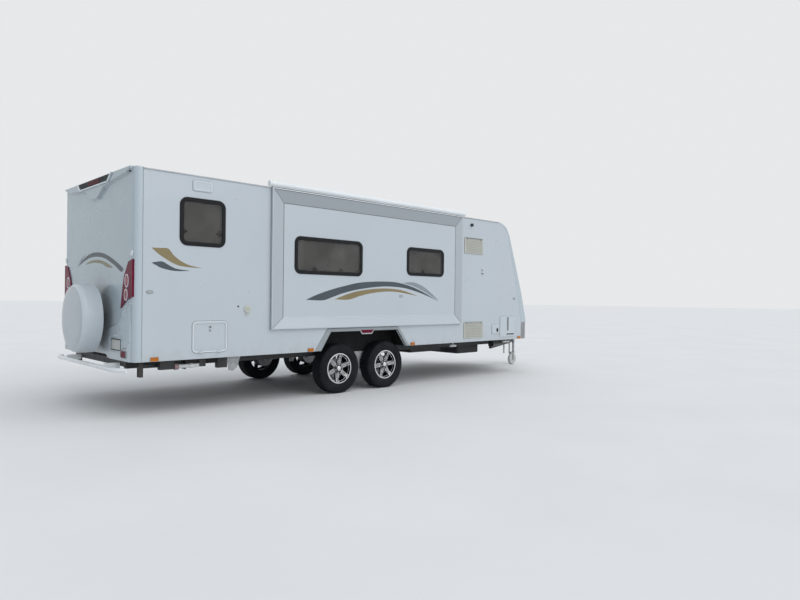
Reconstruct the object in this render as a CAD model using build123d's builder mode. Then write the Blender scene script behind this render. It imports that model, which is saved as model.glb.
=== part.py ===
import os

from build123d import *

os.makedirs("parts", exist_ok=True)

# Frame: X forward, Y to the left, Z up from the ground, in millimetres.
# The origin is on the ground under the middle of the whole length.

# Overall sizes
body_width = 2500
body_length = 7640
body_bottom = 646
body_top = 2860
drawbar_length = 1440
spare_reach = 348
rear_x = (spare_reach - body_length - drawbar_length) / 2
front_x = rear_x + body_length
half = body_width / 2

# Clearances used all over
running_gap = 6
seat_gap = 0.3

# Panels: sandwich walls, floor and roof, and the moulded ends
wall = 30
floor_depth = 40
roof_depth = 40
shell = 35
seam_x = rear_x + 90
side_front_x = front_x - 170
roof_front_x = front_x - 910
floor_top = body_bottom + floor_depth
floor_y = half - wall
roof_under = body_top - roof_depth

# Wheels: two close-coupled axles
rear_axle_at = 3022
axle_spacing = 918
tyre_radius = 365
tyre_width = 225
rim_radius = 222
wheel_y = half - 185
axle_x = {"rear": rear_x + rear_axle_at, "front": rear_x + rear_axle_at + axle_spacing}

# Wheel arches, as trapezoids round both wheels
arch_rear_x = axle_x["rear"] - 412
arch_front_x = axle_x["front"] + 360
arch_top = 910
arch_rear_rake = 170
arch_front_rake = 200

# Slide-out room in the right wall
room_rear_x = rear_x + 1840
room_front_x = front_x - 2070
room_bottom = 1010
room_top = body_top - 70
room_depth = 620
room_wall = 28
face_lap = 70
face_rear_x = room_rear_x - face_lap
face_front_x = room_front_x + face_lap
face_bottom = room_bottom - 35
face_depth = 34
face_gap = 5
face_inner_y = half + face_gap
face_outer_y = face_inner_y + face_depth

# Entry door in the left wall
door_rear_x = arch_front_x + 150
door_width = 620
door_bottom = body_bottom + 34
door_top = 2480
door_hinge_x = door_rear_x + door_width
hinge_out = 8
knuckle_radius = hinge_out - seat_gap

# Windows
frame_width = 45
frame_proud = 10
window_radius = 90
pane_depth = 6

side_names = {-1: "right", 1: "left"}


def block(x_span, y_span, z_span, mode=Mode.ADD):
    """A box between two places along each axis, in the part being built."""
    spans = (x_span, y_span, z_span)
    with Locations(tuple(sum(span) / 2 for span in spans)):
        Box(*[abs(span[1] - span[0]) for span in spans], mode=mode)


def wall_side(side, proud):
    """The upright plane from which an extrusion by proud stands out of that side's wall."""
    return Plane.XZ.offset(half) if side < 0 else Plane.XZ.offset(-half - proud)


# Window table. Columns: wall side, rear edge X, front edge X, bottom Z, top Z
WINDOWS = [
    (-1, rear_x + 525, rear_x + 1110, 2010, 2580),
    (1, rear_x + 525, rear_x + 1110, 2010, 2580),
    (1, rear_x + 1500, rear_x + 2700, 1730, 2240),
    (1, rear_x + 3200, rear_x + 4100, 1730, 2240),
    (1, front_x - 1520, front_x - 860, 1790, 2320),
]
# Slide-out window table. Columns: rear edge X, front edge X, bottom Z, top Z
ROOM_WINDOWS = [
    (room_rear_x + 300, room_rear_x + 1510, 1730, 2240),
    (room_front_x - 1280, room_front_x - 400, 1780, 2230),
]

# Chassis frame: a rail down each side under the floor, with cross members welded between
rail_width = 50
rail_height = 100
rail_y = wheel_y - 190
rail_inner_y = rail_y - rail_width / 2
rail_rear_x = rear_x + 45
rail_front_x = front_x - 200
rail_bottom = body_bottom - rail_height
cross_depth = 80
cross_width = 50
cross_count = 9
cross_pitch = (rail_front_x - rail_rear_x - cross_width) / (cross_count - 1)
with BuildPart() as chassis:
    for side in (-1, 1):
        block(
            (rail_rear_x, rail_front_x),
            (side * rail_y - rail_width / 2, side * rail_y + rail_width / 2),
            (rail_bottom, body_bottom),
        )
    for i in range(cross_count):
        start = rail_rear_x + i * cross_pitch
        block(
            (start, start + cross_width),
            (-rail_inner_y, rail_inner_y),
            (body_bottom - cross_depth, body_bottom),
        )
chassis.part.label = "chassis_frame"
export_step(chassis.part, "parts/chassis_frame.step")

# Drawbar: two rails that come together at the coupling, with the gas tray welded across
drawbar_height = 100
drawbar_top = rail_bottom
drawbar_bottom = drawbar_top - drawbar_height
drawbar_start_x = front_x - 630
drawbar_start_y = rail_y - 20
drawbar_tip_x = front_x + drawbar_length - 280
drawbar_tip_y = 42
drawbar_slope = (drawbar_start_y - drawbar_tip_y) / (drawbar_tip_x - drawbar_start_x)
tray_thick = 6
tray_length = 350
tray_top = drawbar_top + tray_thick
bottle_x = front_x + 220
tray_y = drawbar_tip_y + drawbar_slope * (drawbar_tip_x - bottle_x)
with BuildPart() as drawbar:
    for side in (-1, 1):
        with BuildSketch(Plane.XY.offset(drawbar_bottom)):
            with BuildLine():
                Polyline(
                    (drawbar_start_x, side * (drawbar_start_y + rail_width / 2)),
                    (drawbar_tip_x, side * (drawbar_tip_y + rail_width / 2)),
                    (drawbar_tip_x, side * (drawbar_tip_y - rail_width / 2)),
                    (drawbar_start_x, side * (drawbar_start_y - rail_width / 2)),
                    close=True,
                )
            make_face()
        extrude(amount=drawbar_height)
    block(
        (bottle_x - tray_length / 2, bottle_x + tray_length / 2),
        (-tray_y, tray_y),
        (drawbar_top, tray_top),
    )
drawbar.part.label = "drawbar"
export_step(drawbar.part, "parts/drawbar.step")

# Coupling: a cast head over the tow ball, its lock handle, and the hand brake lever behind it
ball_radius = 25
ball_gap = 0.5
head_radius = 42
head_top = drawbar_top + 62
head_round = 10
ball_x = front_x + drawbar_length - head_radius
plate_rear_x = drawbar_tip_x - 330
plate_half = 75
plate_top = drawbar_top + 10
neck_half = 32
socket_bottom = drawbar_top - 8
socket_depth = 36
lever_x = plate_rear_x + 60
lever_radius = 9
lever_length = 330
lever_lean = (0.35, 0, 0.94)
with BuildPart() as coupling:
    block((plate_rear_x, drawbar_tip_x + 40), (-plate_half, plate_half), (drawbar_top, plate_top))
    block(
        (drawbar_tip_x - 120, ball_x),
        (-neck_half, neck_half),
        (plate_top, head_top - head_round - 4),
    )
    with BuildSketch(Plane.XY.offset(socket_bottom)):
        with Locations((ball_x, 0)):
            Circle(head_radius)
    extrude(amount=head_top - socket_bottom)
    fillet(coupling.faces().sort_by(Axis.Z)[-1].edges(), head_round)
    with BuildSketch(Plane.XY.offset(socket_bottom)):
        with Locations((ball_x, 0)):
            Circle(ball_radius + ball_gap)
    extrude(amount=socket_depth, mode=Mode.SUBTRACT)
    with BuildSketch(Plane.XZ.offset(-neck_half / 2)):
        with BuildLine():
            Polyline(
                (ball_x - 20, head_top - 2),
                (ball_x + 10, head_top + 14),
                (ball_x - 95, head_top + 58),
                (ball_x - 100, head_top + 44),
                close=True,
            )
        make_face()
    extrude(amount=neck_half)
    block((lever_x - 25, lever_x + 90), (-6, 6), (plate_top, plate_top + 70))
    with BuildSketch(Plane(origin=(lever_x, 0, plate_top + 40), z_dir=lever_lean)):
        Circle(lever_radius)
    extrude(amount=lever_length)
coupling.part.label = "coupling"
export_step(coupling.part, "parts/coupling.step")

# Safety chains: short links that hang from a lug under each drawbar tip
link_wire = 10
link_width = 32
link_length = 50
link_bite = 1
link_pitch = link_length - 2 * link_wire + link_bite
link_count = 7
lug_drop = 26
lug_half = 8
chain_x = drawbar_tip_x - 70
chain_y = drawbar_tip_y + drawbar_slope * (drawbar_tip_x - chain_x)
chain_top = drawbar_bottom - lug_drop / 2 - link_length / 2
with BuildPart() as chains:
    for side in (-1, 1):
        block(
            (chain_x - lug_half, chain_x + lug_half),
            (side * chain_y - 3, side * chain_y + 3),
            (drawbar_bottom - lug_drop, drawbar_bottom),
        )
        for i in range(link_count):
            centre = (chain_x, side * chain_y, chain_top - i * link_pitch)
            if i % 2 == 0:
                link_plane = Plane(origin=centre, x_dir=(0, 1, 0), z_dir=(1, 0, 0))
            else:
                link_plane = Plane(origin=centre, x_dir=(1, 0, 0), z_dir=(0, -1, 0))
            with BuildSketch(link_plane):
                RectangleRounded(link_width, link_length, link_width / 2 - 1)
                RectangleRounded(
                    link_width - 2 * link_wire,
                    link_length - 2 * link_wire,
                    link_width / 2 - link_wire - 1,
                    mode=Mode.SUBTRACT,
                )
            extrude(amount=link_wire / 2, both=True)
chains.part.label = "safety_chains"
export_step(chains.part, "parts/safety_chains.step")

# Gas bottles side by side on the tray, each with its foot ring, collar and valve
bottle_radius = 155
bottle_height = 430
bottle_y = bottle_radius + 20
bottle_top_round = 60
bottle_foot_round = 40
ring_radius = 105
ring_height = 24
collar_radius = 90
collar_height = 105
collar_thick = 5
collar_sunk = 10
valve_radius = 20
with BuildPart() as bottles:
    for side in (-1, 1):
        with BuildSketch(Plane.XY.offset(tray_top)):
            with Locations((bottle_x, side * bottle_y)):
                Circle(ring_radius)
        extrude(amount=ring_height)
        with BuildSketch(Plane.XY.offset(tray_top + ring_height)):
            with Locations((bottle_x, side * bottle_y)):
                Circle(bottle_radius)
        extrude(amount=bottle_height - ring_height)
    wide_edges = bottles.edges().filter_by(GeomType.CIRCLE)
    wide_edges = wide_edges.filter_by(lambda e: e.radius > ring_radius + 1).group_by(Axis.Z)
    fillet(wide_edges[-1], bottle_top_round)
    wide_edges = bottles.edges().filter_by(GeomType.CIRCLE)
    wide_edges = wide_edges.filter_by(lambda e: e.radius > bottle_radius - 1).group_by(Axis.Z)
    fillet(wide_edges[0], bottle_foot_round)
    for side in (-1, 1):
        with BuildSketch(Plane.XY.offset(tray_top + bottle_height - collar_sunk)):
            with Locations((bottle_x, side * bottle_y)):
                Circle(collar_radius)
                Circle(collar_radius - collar_thick, mode=Mode.SUBTRACT)
                with Locations((-collar_radius, 0)):
                    Rectangle(collar_radius, collar_radius, mode=Mode.SUBTRACT)
                Circle(valve_radius)
        extrude(amount=collar_height)
bottles.part.label = "gas_bottles"
export_step(bottles.part, "parts/gas_bottles.step")

# Floor, cut out round the wheel boxes
liner_thick = 4
liner_inner_y = wheel_y - 140
floor_front_x = side_front_x - 20
with BuildPart() as floor:
    block((seam_x, floor_front_x), (-floor_y, floor_y), (body_bottom, floor_top))
    for side in (-1, 1):
        block(
            (arch_rear_x - liner_thick, arch_front_x + liner_thick),
            (side * (liner_inner_y - liner_thick), side * half),
            (body_bottom - 1, floor_top + 1),
            Mode.SUBTRACT,
        )
floor.part.label = "floor_panel"
export_step(floor.part, "parts/floor_panel.step")

# Seam between the side walls and the front moulding. Columns: X, Z
guard_top = body_bottom + 324
seam_line = [
    (side_front_x, guard_top),
    (front_x - 290, body_top - 1330),
    (front_x - 540, body_top - 480),
    (front_x - 640, body_top - 180),
    (front_x - 780, roof_under),
    (roof_front_x, roof_under),
]

# Side walls, with the wheel arch, the windows and each side's own openings cut
hatch_rear_x = rear_x + 690
hatch_width = 460
hatch_height = 380
hatch_bottom = body_bottom + 74
hatch_radius = 50
hatch_centre = (hatch_rear_x + hatch_width / 2, hatch_bottom + hatch_height / 2)
door_centre = (door_rear_x + door_width / 2, (door_bottom + door_top) / 2)
room_centre = ((room_rear_x + room_front_x) / 2, (room_bottom + room_top) / 2)
wall_planes = {-1: Plane.XZ.offset(half - wall), 1: Plane.XZ.offset(-half)}
for side in (-1, 1):
    with BuildPart() as side_wall:
        with BuildSketch(wall_planes[side]):
            with BuildLine():
                Polyline(
                    (seam_x, body_bottom),
                    (side_front_x, body_bottom),
                    *seam_line,
                    (roof_front_x, body_top),
                    (seam_x, body_top),
                    close=True,
                )
            make_face()
            with BuildLine():
                Polyline(
                    (arch_rear_x, body_bottom - 1),
                    (arch_rear_x + arch_rear_rake, arch_top),
                    (arch_front_x - arch_front_rake, arch_top),
                    (arch_front_x, body_bottom - 1),
                    close=True,
                )
            make_face(mode=Mode.SUBTRACT)
            for window_side, back, front, low, high in WINDOWS:
                if window_side == side:
                    with Locations(((back + front) / 2, (low + high) / 2)):
                        RectangleRounded(
                            front - back - 2 * frame_width,
                            high - low - 2 * frame_width,
                            window_radius - frame_width,
                            mode=Mode.SUBTRACT,
                        )
            with Locations(hatch_centre):
                RectangleRounded(hatch_width, hatch_height, hatch_radius, mode=Mode.SUBTRACT)
            if side < 0:
                with Locations(room_centre):
                    Rectangle(
                        room_front_x - room_rear_x + 2 * running_gap,
                        room_top - room_bottom + 2 * running_gap,
                        mode=Mode.SUBTRACT,
                    )
            else:
                with Locations(door_centre):
                    Rectangle(
                        door_width + 2 * running_gap,
                        door_top - door_bottom + 2 * running_gap,
                        mode=Mode.SUBTRACT,
                    )
        extrude(amount=wall)
    side_wall.part.label = f"side_wall_{side_names[side]}"
    export_step(side_wall.part, f"parts/side_wall_{side_names[side]}.step")

# Rear moulding: one shell round both corners and the top edge, with a raised brow and skirt
corner_radius = 60
rear_top_z = body_top + 12
rear_top_round = 20
brow_proud = 34
brow_slope = 36
brow_round = 8
skirt_proud = 18
skirt_edge = 12
skirt_y = half - 70
form_overlap = 22
bottom_rise = 46
bottom_rise_y = half - 830
# Half outline of the brow. Columns: Y from the middle, Z
brow_half = [
    (0, body_top - 274),
    (110, body_top - 273),
    (240, body_top - 205),
    (330, body_top - 155),
    (600, body_top - 118),
    (half - 200, body_top - 85),
    (half - 80, body_top - 40),
    (half - 80, rear_top_z),
]
brow_front = [(y, z + brow_slope) for y, z in brow_half[:-1]] + brow_half[-1:]
# Half outline of the skirt. Columns: Y from the middle, Z
skirt_half = [
    (0, body_bottom + 219),
    (150, body_bottom + 219),
    (500, body_bottom + 364),
    (half - 350, body_bottom + 454),
    (skirt_y, body_bottom + 420),
    (skirt_y, body_bottom),
    (bottom_rise_y + 130, body_bottom),
    (bottom_rise_y, body_bottom + bottom_rise),
]
with BuildPart() as rear:
    block((rear_x, seam_x), (-half, half), (body_bottom, rear_top_z))
    fillet(rear.edges().filter_by(Axis.Z).group_by(Axis.X)[0], corner_radius)
    fillet(
        rear.faces().sort_by(Axis.Z)[-1].edges().filter_by(Axis.Y).group_by(Axis.X)[0],
        rear_top_round,
    )
    with BuildSketch(Plane.YZ.offset(rear_x + form_overlap)):
        with BuildLine():
            Polyline(*[(-y, z) for y, z in reversed(skirt_half)], *skirt_half[1:], close=True)
        make_face()
    extrude(amount=-form_overlap - skirt_proud)
    skirt_face = rear.faces().sort_by(Axis.X)[0]
    chamfer(
        skirt_face.edges().filter_by(lambda e: e.center().Z > body_bottom + 150),
        skirt_edge,
    )
    for outline, place in ((brow_half, rear_x + form_overlap), (brow_front, rear_x - brow_proud)):
        with BuildSketch(Plane.YZ.offset(place)):
            with BuildLine():
                Polyline(*[(-y, z) for y, z in reversed(outline)], *outline[1:], close=True)
            make_face()
    loft(ruled=True)
    brow_face = rear.faces().sort_by(Axis.X)[0]
    fillet(brow_face.edges().filter_by(Axis.Y).group_by(Axis.Z)[-1], brow_round)
    block(
        (rear_x + shell, seam_x + 1),
        (-floor_y, floor_y),
        (body_bottom - 1, roof_under),
        Mode.SUBTRACT,
    )
    block(
        (rear_x - skirt_proud - 1, rear_x + shell + 1),
        (-bottom_rise_y, bottom_rise_y),
        (body_bottom - 1, body_bottom + bottom_rise),
        Mode.SUBTRACT,
    )
rear.part.label = "rear_moulding"
export_step(rear.part, "parts/rear_moulding.step")

# Dark gloss panel on the brow, wider at its top, round the high stop lamp
panel_proud = 5
panel_top_half = 600
panel_bottom_half = 490
panel_top_z = rear_top_z - brow_round - 2
panel_bottom_z = body_top - 76
with BuildPart() as top_panel:
    with BuildSketch(Plane.YZ.offset(rear_x - brow_proud)):
        with BuildLine():
            Polyline(
                (-panel_top_half, panel_top_z),
                (-panel_bottom_half, panel_bottom_z),
                (panel_bottom_half, panel_bottom_z),
                (panel_top_half, panel_top_z),
                close=True,
            )
        make_face()
    extrude(amount=-panel_proud)
top_panel.part.label = "rear_top_panel"
export_step(top_panel.part, "parts/rear_top_panel.step")

# Front moulding: a raked shell with a side flange on each side. Columns: X, Z
nose_line = [
    (front_x, guard_top),
    (front_x - 160, body_top - 1340),
    (front_x - 310, body_top - 930),
    (front_x - 520, body_top - 380),
    (front_x - 570, body_top - 240),
    (front_x - 670, body_top - 90),
    (front_x - 790, body_top - 25),
    (roof_front_x, body_top),
]
cut_rear_x = roof_front_x - 700
# Front window, on the straight slope between the third and fourth places of the nose line
nose_window_width = 1500
nose_window_height = 440
slope_low = nose_line[2]
slope_high = nose_line[3]
slope_plane = Plane(
    origin=((slope_low[0] + slope_high[0]) / 2, 0, (slope_low[1] + slope_high[1]) / 2),
    x_dir=(0, 1, 0),
    z_dir=(slope_high[1] - slope_low[1], 0, slope_low[0] - slope_high[0]),
)
with BuildPart() as nose:
    with BuildSketch(Plane.XZ.offset(-half)):
        with BuildLine():
            Polyline(*nose_line, *reversed(seam_line), close=True)
        make_face()
    extrude(amount=2 * half)
    with BuildSketch(Plane.XZ.offset(-floor_y)):
        with BuildLine():
            Polyline(
                (cut_rear_x, guard_top - 40),
                (front_x - shell, guard_top - 40),
                *[(x - shell, z - shell) for x, z in nose_line[1:-2]],
                (front_x - 790, roof_under),
                (cut_rear_x, roof_under),
                close=True,
            )
        make_face()
    extrude(amount=2 * floor_y, mode=Mode.SUBTRACT)
    with BuildSketch(slope_plane):
        RectangleRounded(
            nose_window_width - 2 * frame_width,
            nose_window_height - 2 * frame_width,
            window_radius - frame_width,
        )
    extrude(amount=-3 * shell, mode=Mode.SUBTRACT)
nose.part.label = "front_moulding"
export_step(nose.part, "parts/front_moulding.step")

# Stone guard: chequered plate across the front below the moulding, wrapped round the corners
guard_thick = 4
guard_y = half - 2
guard_round = 40
guard_well = Pos((side_front_x + front_x) / 2 - guard_thick, 0, body_bottom) * Box(
    front_x - side_front_x, 2 * (guard_y - guard_thick), 2 * guard_top
)
guard_well = fillet(
    guard_well.edges().filter_by(Axis.Z).group_by(Axis.X)[-1], guard_round - guard_thick
)
with BuildPart() as guard:
    block((side_front_x, front_x), (-guard_y, guard_y), (body_bottom, guard_top))
    fillet(guard.edges().filter_by(Axis.Z).group_by(Axis.X)[-1], guard_round)
    add(guard_well, mode=Mode.SUBTRACT)
guard.part.label = "stone_guard"
export_step(guard.part, "parts/stone_guard.step")

# Roof, with two hatch openings
hatch_centres = {"rear": rear_x + 1500, "front": front_x - 1740}
hatch_square = 400
with BuildPart() as roof:
    block((seam_x, roof_front_x), (-floor_y, floor_y), (roof_under, body_top))
    for centre in hatch_centres.values():
        block(
            (centre - hatch_square / 2, centre + hatch_square / 2),
            (-hatch_square / 2, hatch_square / 2),
            (roof_under - 1, body_top + 1),
            Mode.SUBTRACT,
        )
roof.part.label = "roof_panel"
export_step(roof.part, "parts/roof_panel.step")

# Roof hatch lids, each hinged along its front edge and seated on the roof
lid_half = hatch_square / 2 + 30
lid_height = 60
lid_skin = 22
lid_round = 50
lid_edge = 20
lid_well = hatch_square / 2 - running_gap
for name, centre in hatch_centres.items():
    with BuildPart() as lid:
        block(
            (centre - lid_half, centre + lid_half),
            (-lid_half, lid_half),
            (body_top + seat_gap, body_top + lid_height),
        )
        fillet(lid.edges().filter_by(Axis.Z), lid_round)
        chamfer(lid.faces().sort_by(Axis.Z)[-1].edges(), lid_edge)
        block(
            (centre - lid_well, centre + lid_well),
            (-lid_well, lid_well),
            (body_top - 1, body_top + lid_height - lid_skin),
            Mode.SUBTRACT,
        )
    lid.part.label = f"roof_hatch_{name}"
    export_step(lid.part, f"parts/roof_hatch_{name}.step")

# Roof cooler: the low housing of the air conditioner, with louvres in its rear end
cooler_x = rear_x + 3650
cooler_length = 980
cooler_width = 640
cooler_height = 190
cooler_corner = 120
cooler_taper = 12
cooler_round = 25
louvre_count = 5
louvre_width = 12
louvre_pitch = 26
with BuildPart() as cooler:
    with BuildSketch(Plane.XY.offset(body_top)):
        with Locations((cooler_x, 0)):
            RectangleRounded(cooler_length, cooler_width, cooler_corner)
    extrude(amount=cooler_height, taper=cooler_taper)
    fillet(cooler.faces().sort_by(Axis.Z)[-1].edges(), cooler_round)
    for i in range(louvre_count):
        low = body_top + 35 + i * louvre_pitch
        block(
            (cooler_x - cooler_length / 2 - 1, cooler_x - cooler_length / 2 + 60),
            (-cooler_width / 4, cooler_width / 4),
            (low, low + louvre_width),
            Mode.SUBTRACT,
        )
cooler.part.label = "roof_cooler"
export_step(cooler.part, "parts/roof_cooler.step")

# Wheel boxes inside the arches: folded sheet, open downwards and outwards
with BuildPart() as liners:
    for side in (-1, 1):
        block(
            (arch_rear_x - liner_thick, arch_front_x + liner_thick),
            (side * (liner_inner_y - liner_thick), side * floor_y),
            (body_bottom, arch_top + liner_thick),
        )
        block(
            (arch_rear_x, arch_front_x),
            (side * liner_inner_y, side * (floor_y + 1)),
            (body_bottom - 1, arch_top),
            Mode.SUBTRACT,
        )
liners.part.label = "wheel_boxes"
export_step(liners.part, "parts/wheel_boxes.step")

# Wheel arch trims on the outside of the walls, bevelled along their edges
trim_width = 55
trim_proud = 12
trim_bevel = 6
trim_rear_foot = 110
trim_front_foot = 80
trim_corner = 25
with BuildPart() as trims:
    for side in (-1, 1):
        with BuildSketch(wall_side(side, trim_proud)):
            with BuildLine():
                Polyline(
                    (arch_rear_x - trim_rear_foot, body_bottom),
                    (arch_rear_x + arch_rear_rake - 75, arch_top + trim_width - trim_corner),
                    (arch_rear_x + arch_rear_rake - 75 + trim_corner, arch_top + trim_width),
                    (arch_front_x - arch_front_rake + 20, arch_top + trim_width),
                    (arch_front_x - arch_front_rake + 45, arch_top + trim_width - trim_corner),
                    (arch_front_x + trim_front_foot, body_bottom),
                    (arch_front_x, body_bottom),
                    (arch_front_x - arch_front_rake, arch_top),
                    (arch_rear_x + arch_rear_rake, arch_top),
                    (arch_rear_x, body_bottom),
                    close=True,
                )
            make_face()
        extrude(amount=trim_proud)
    trim_faces = trims.faces().filter_by(Axis.Y).group_by(Axis.Y)
    chamfer(trim_faces[0].edges() + trim_faces[-1].edges(), trim_bevel)
trims.part.label = "arch_trims"
export_step(trims.part, "parts/arch_trims.step")

# Window frames of the two walls and of the nose, seated on the outer faces
with BuildPart() as frames:
    for side, back, front, low, high in WINDOWS:
        with BuildSketch(wall_side(side, frame_proud)):
            with Locations(((back + front) / 2, (low + high) / 2)):
                RectangleRounded(front - back, high - low, window_radius)
                RectangleRounded(
                    front - back - 2 * frame_width,
                    high - low - 2 * frame_width,
                    window_radius - frame_width,
                    mode=Mode.SUBTRACT,
                )
        extrude(amount=frame_proud)
    with BuildSketch(slope_plane):
        RectangleRounded(nose_window_width, nose_window_height, window_radius)
        RectangleRounded(
            nose_window_width - 2 * frame_width,
            nose_window_height - 2 * frame_width,
            window_radius - frame_width,
            mode=Mode.SUBTRACT,
        )
    extrude(amount=frame_proud)
frames.part.label = "window_frames"
export_step(frames.part, "parts/window_frames.step")

# Tinted panes inside those frames, flush with the outer faces
pane_planes = {-1: Plane.XZ.offset(half - pane_depth), 1: Plane.XZ.offset(-half)}
with BuildPart() as panes:
    for side, back, front, low, high in WINDOWS:
        with BuildSketch(pane_planes[side]):
            with Locations(((back + front) / 2, (low + high) / 2)):
                RectangleRounded(
                    front - back - 2 * frame_width,
                    high - low - 2 * frame_width,
                    window_radius - frame_width,
                )
        extrude(amount=pane_depth)
    with BuildSketch(slope_plane):
        RectangleRounded(
            nose_window_width - 2 * frame_width,
            nose_window_height - 2 * frame_width,
            window_radius - frame_width,
        )
    extrude(amount=-pane_depth)
panes.part.label = "window_panes"
export_step(panes.part, "parts/window_panes.step")

# Slide-out room: a box open towards the cabin
with BuildPart() as room:
    block((room_rear_x, room_front_x), (-half, -half + room_depth), (room_bottom, room_top))
    block(
        (room_rear_x + room_wall, room_front_x - room_wall),
        (-half - 1, -half + room_depth + 1),
        (room_bottom + room_wall, room_top - room_wall),
        Mode.SUBTRACT,
    )
room.part.label = "slideout_box"
export_step(room.part, "parts/slideout_box.step")

# Slide-out face: a flat panel inside a bevelled frame that laps over the wall
bevel_depth = 24
face_edge = 12
panel_rear_x = face_rear_x + 190
panel_front_x = face_front_x - 170
panel_bottom = face_bottom + 155
panel_top = body_top - 195
panel_y = face_outer_y - bevel_depth
with BuildPart() as face:
    block((face_rear_x, face_front_x), (-face_outer_y, -face_inner_y), (face_bottom, body_top))
    block((room_rear_x, room_front_x), (-face_inner_y, -half), (room_bottom, room_top))
    with BuildSketch(Plane.XZ.offset(face_outer_y)):
        with Locations(((face_rear_x + face_front_x) / 2, (face_bottom + body_top) / 2)):
            Rectangle(
                face_front_x - face_rear_x - 2 * face_edge,
                body_top - face_bottom - 2 * face_edge,
            )
    with BuildSketch(Plane.XZ.offset(panel_y)):
        with Locations(((panel_rear_x + panel_front_x) / 2, (panel_bottom + panel_top) / 2)):
            Rectangle(panel_front_x - panel_rear_x, panel_top - panel_bottom)
    loft(mode=Mode.SUBTRACT)
    for back, front, low, high in ROOM_WINDOWS:
        with BuildSketch(Plane.XZ.offset(half - 2)):
            with Locations(((back + front) / 2, (low + high) / 2)):
                RectangleRounded(
                    front - back - 2 * frame_width,
                    high - low - 2 * frame_width,
                    window_radius - frame_width,
                )
        extrude(amount=face_depth + face_gap + 4, mode=Mode.SUBTRACT)
face.part.label = "slideout_face"
export_step(face.part, "parts/slideout_face.step")

# Frames of the slide-out windows, on the flat panel
with BuildPart() as room_frames:
    for back, front, low, high in ROOM_WINDOWS:
        with BuildSketch(Plane.XZ.offset(panel_y)):
            with Locations(((back + front) / 2, (low + high) / 2)):
                RectangleRounded(front - back, high - low, window_radius)
                RectangleRounded(
                    front - back - 2 * frame_width,
                    high - low - 2 * frame_width,
                    window_radius - frame_width,
                    mode=Mode.SUBTRACT,
                )
        extrude(amount=frame_proud)
room_frames.part.label = "slideout_window_frames"
export_step(room_frames.part, "parts/slideout_window_frames.step")

# Panes of the slide-out windows
with BuildPart() as room_panes:
    for back, front, low, high in ROOM_WINDOWS:
        with BuildSketch(Plane.XZ.offset(panel_y - pane_depth)):
            with Locations(((back + front) / 2, (low + high) / 2)):
                RectangleRounded(
                    front - back - 2 * frame_width,
                    high - low - 2 * frame_width,
                    window_radius - frame_width,
                )
        extrude(amount=pane_depth)
room_panes.part.label = "slideout_window_panes"
export_step(room_panes.part, "parts/slideout_window_panes.step")

# Slide-out topper: the cover's roller and its end caps, on the top edge of the face
topper_radius = 35
topper_lap = 50
cap_radius = 38
cap_length = 18
topper_z = body_top + cap_radius
topper_y = -face_inner_y - 22
sill_height = 20
with BuildPart() as topper:
    block(
        (face_rear_x, face_front_x),
        (-face_outer_y, -face_inner_y),
        (body_top, body_top + sill_height),
    )
    for place in (face_rear_x - topper_lap, face_front_x + topper_lap - cap_length):
        with BuildSketch(Plane.YZ.offset(place)):
            with Locations((topper_y, topper_z)):
                Circle(cap_radius)
        extrude(amount=cap_length)
    with BuildSketch(Plane.YZ.offset(face_rear_x - topper_lap + cap_length)):
        with Locations((topper_y, topper_z)):
            Circle(topper_radius)
    extrude(amount=face_front_x - face_rear_x + 2 * (topper_lap - cap_length))
topper.part.label = "slideout_topper"
export_step(topper.part, "parts/slideout_topper.step")

# Runners that carry the slide-out room above the floor
runner_width = 60
runner_inset = 160
with BuildPart() as runners:
    for place in (room_rear_x + runner_inset, room_front_x - runner_inset - runner_width):
        block(
            (place, place + runner_width),
            (-floor_y, -half + room_depth + 60),
            (floor_top, room_bottom - seat_gap),
        )
runners.part.label = "slideout_runners"
export_step(runners.part, "parts/slideout_runners.step")

# Entry door: panel with its hinge knuckles, its handle and its window opening
door_window_width = door_width - 220
door_window_low = 1750
door_window_high = 2280
door_window_radius = 40
door_window_centre = (door_centre[0], (door_window_low + door_window_high) / 2)
knuckle_height = 80
hinge_leaf = 40
handle_x = door_rear_x + 55
handle_z = 1530
handle_half = 28
grip_half = 14
with BuildPart() as door:
    with BuildSketch(Plane.XZ.offset(-half)):
        with Locations(door_centre):
            Rectangle(door_width, door_top - door_bottom)
        with Locations(door_window_centre):
            RectangleRounded(
                door_window_width,
                door_window_high - door_window_low,
                door_window_radius,
                mode=Mode.SUBTRACT,
            )
    extrude(amount=wall)
    for place in (door_bottom + 150, door_centre[1], door_top - 230):
        with BuildSketch(Plane.XY.offset(place)):
            with Locations((door_hinge_x, half + hinge_out)):
                Circle(knuckle_radius)
            with Locations((door_hinge_x - hinge_leaf / 2, half + hinge_out / 2)):
                Rectangle(hinge_leaf, hinge_out)
        extrude(amount=knuckle_height)
    block(
        (handle_x - handle_half, handle_x + handle_half),
        (half, half + 12),
        (handle_z - 75, handle_z + 75),
    )
    block(
        (handle_x - grip_half, handle_x + grip_half),
        (half + 12, half + 34),
        (handle_z - 15, handle_z + 55),
    )
door.part.label = "door_panel"
export_step(door.part, "parts/door_panel.step")

# Pane in the entry door
with BuildPart() as door_pane:
    with BuildSketch(Plane.XZ.offset(-half + wall / 2)):
        with Locations(door_window_centre):
            RectangleRounded(
                door_window_width,
                door_window_high - door_window_low,
                door_window_radius,
            )
    extrude(amount=pane_depth)
door_pane.part.label = "door_pane"
export_step(door_pane.part, "parts/door_pane.step")

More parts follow.
